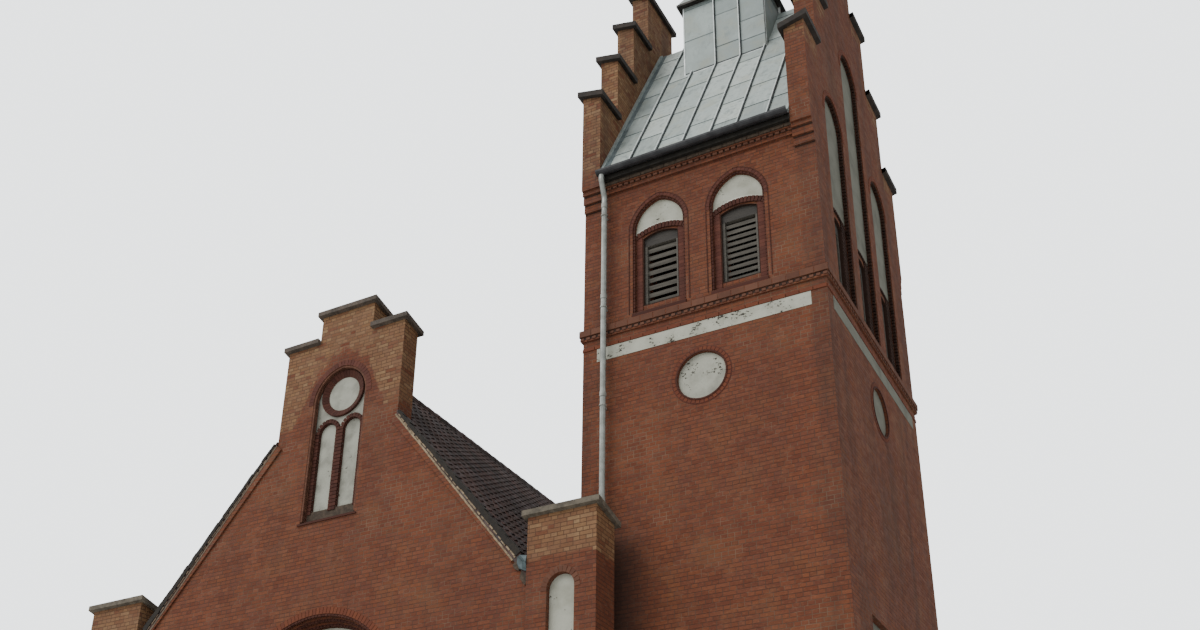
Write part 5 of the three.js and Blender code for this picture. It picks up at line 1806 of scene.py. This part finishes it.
def make_camera(settings):
    camera = bpy.data.cameras.new("camera")
    camera.sensor_width = SENSOR_WIDTH
    camera.lens = FOCAL_PIXELS / PHOTO_WIDTH * SENSOR_WIDTH
    camera.shift_x = (PHOTO_WIDTH / 2 - CENTRE_PIXELS[0]) / PHOTO_WIDTH
    camera.shift_y = (CENTRE_PIXELS[1] - PHOTO_HEIGHT / 2) / PHOTO_WIDTH
    camera.clip_start = 0.1
    camera.clip_end = 500.0
    forward = Vector((math.sin(YAW) * math.cos(PITCH), math.cos(YAW) * math.cos(PITCH), math.sin(PITCH)))
    right = Vector((math.cos(YAW), -math.sin(YAW), 0.0))
    up = right.cross(forward)
    turned_right = math.cos(ROLL) * right + math.sin(ROLL) * up
    turned_up = math.cos(ROLL) * up - math.sin(ROLL) * right
    rotation = Matrix((turned_right, turned_up, -forward)).transposed().to_4x4()
    place = at_nave(settings.eye_across, -settings.eye_before, settings.eye_height)
    item = bpy.data.objects.new("camera", camera)
    item.matrix_world = Matrix.Translation(place) @ rotation
    bpy.context.scene.collection.objects.link(item)
    bpy.context.scene.camera = item


def add_light(name, energy, colour, turn, width):
    lamp = bpy.data.lights.new(name, "SUN")
    lamp.energy = energy
    lamp.color = colour
    lamp.angle = math.radians(width)
    item = bpy.data.objects.new(name, lamp)
    item.rotation_euler = [math.radians(angle) for angle in turn]
    bpy.context.scene.collection.objects.link(item)


WORLD_COLOUR = "e4e8ea"
WORLD_LIGHT = 0.95
BACKDROP_LIGHT = 3.3
# Each light: its name, strength and colour, how it is turned and how wide it is, in degrees
LIGHTS = (
    ("soft key", 2.3, (1.0, 0.98, 0.95), (48, 0, -38), 50),
    ("soft fill", 0.1, (0.95, 0.97, 1.0), (60, 0, 70), 60),
)
FLOOR_REACH = 160.0


def make_world():
    """Even light from all round, in front of a brighter plain backdrop."""
    world = bpy.data.worlds.new("studio")
    world.use_nodes = True
    tree = world.node_tree
    light = tree.nodes["Background"]
    backdrop = tree.nodes.new("ShaderNodeBackground")
    for node, strength in ((light, WORLD_LIGHT), (backdrop, BACKDROP_LIGHT)):
        node.inputs["Color"].default_value = tone(WORLD_COLOUR)
        node.inputs["Strength"].default_value = strength
    path = tree.nodes.new("ShaderNodeLightPath")
    either = tree.nodes.new("ShaderNodeMixShader")
    tree.links.new(path.outputs["Is Camera Ray"], either.inputs["Fac"])
    tree.links.new(light.outputs[0], either.inputs[1])
    tree.links.new(backdrop.outputs[0], either.inputs[2])
    tree.links.new(either.outputs[0], tree.nodes["World Output"].inputs["Surface"])
    bpy.context.scene.world = world


def make_stage(settings):
    mesh = bpy.data.meshes.new("floor")
    edge = rectangle(-FLOOR_REACH, FLOOR_REACH, -FLOOR_REACH, FLOOR_REACH)
    mesh.from_pydata([(x, y, 0) for x, y in edge], [], [(0, 1, 2, 3)])
    mesh.materials.append(floor_material(tuple(settings.floor_colour)))
    floor = bpy.data.objects.new("floor", mesh)
    bpy.context.scene.collection.objects.link(floor)
    make_world()
    for light in LIGHTS:
        add_light(*light)
    make_camera(settings)


class CHURCH_OT_stage(bpy.types.Operator):
    """Lay the floor, hang the lights and set the camera where the photograph was taken"""

    bl_idname = "church.stage"
    bl_label = "Stage"

    def execute(self, context):
        make_stage(context.scene.church_stage)
        return {"FINISHED"}


OPERATORS = [
    CHURCH_OT_finishes,
    make_operator("Tower masonry", "Plaster, rings, dentils and copings of the tower", dress_tower_masonry),
    make_operator("Louvres", "The belfry's louvres", louvres),
    make_operator("Tower metal", "Sheet metal of the tower's roof, turret and drains", dress_tower_metal),
    make_operator("Nave masonry", "Tracery, piers and the great arch", dress_nave_masonry),
    make_operator("Nave roof", "Pantiles, ridge and verges", dress_nave_roof),
    make_operator("Openings", "Glazing bars, sills and the door", dress_openings),
    CHURCH_OT_stage,
]


class CHURCH_PT_panel(bpy.types.Panel):
    """The church's pieces, one button each"""

    bl_label = "Church"
    bl_space_type = "VIEW_3D"
    bl_region_type = "UI"
    bl_category = "Church"

    def draw(self, context):
        for operator in OPERATORS:
            self.layout.operator(operator.bl_idname)


SETTINGS = {"church_brickwork": BrickworkSettings, "church_stage": StageSettings}


def register():
    for group in SETTINGS.values():
        bpy.utils.register_class(group)
    for name, group in SETTINGS.items():
        setattr(bpy.types.Scene, name, PointerProperty(type=group))
    for operator in OPERATORS:
        bpy.utils.register_class(operator)
    bpy.utils.register_class(CHURCH_PT_panel)


def unregister():
    bpy.utils.unregister_class(CHURCH_PT_panel)
    for operator in reversed(OPERATORS):
        bpy.utils.unregister_class(operator)
    for name, group in reversed(SETTINGS.items()):
        delattr(bpy.types.Scene, name)
        bpy.utils.unregister_class(group)


def main():
    register()
    for operator in OPERATORS:
        family, action = operator.bl_idname.split(".")
        getattr(getattr(bpy.ops, family), action)()


if __name__ == "__main__":
    main()
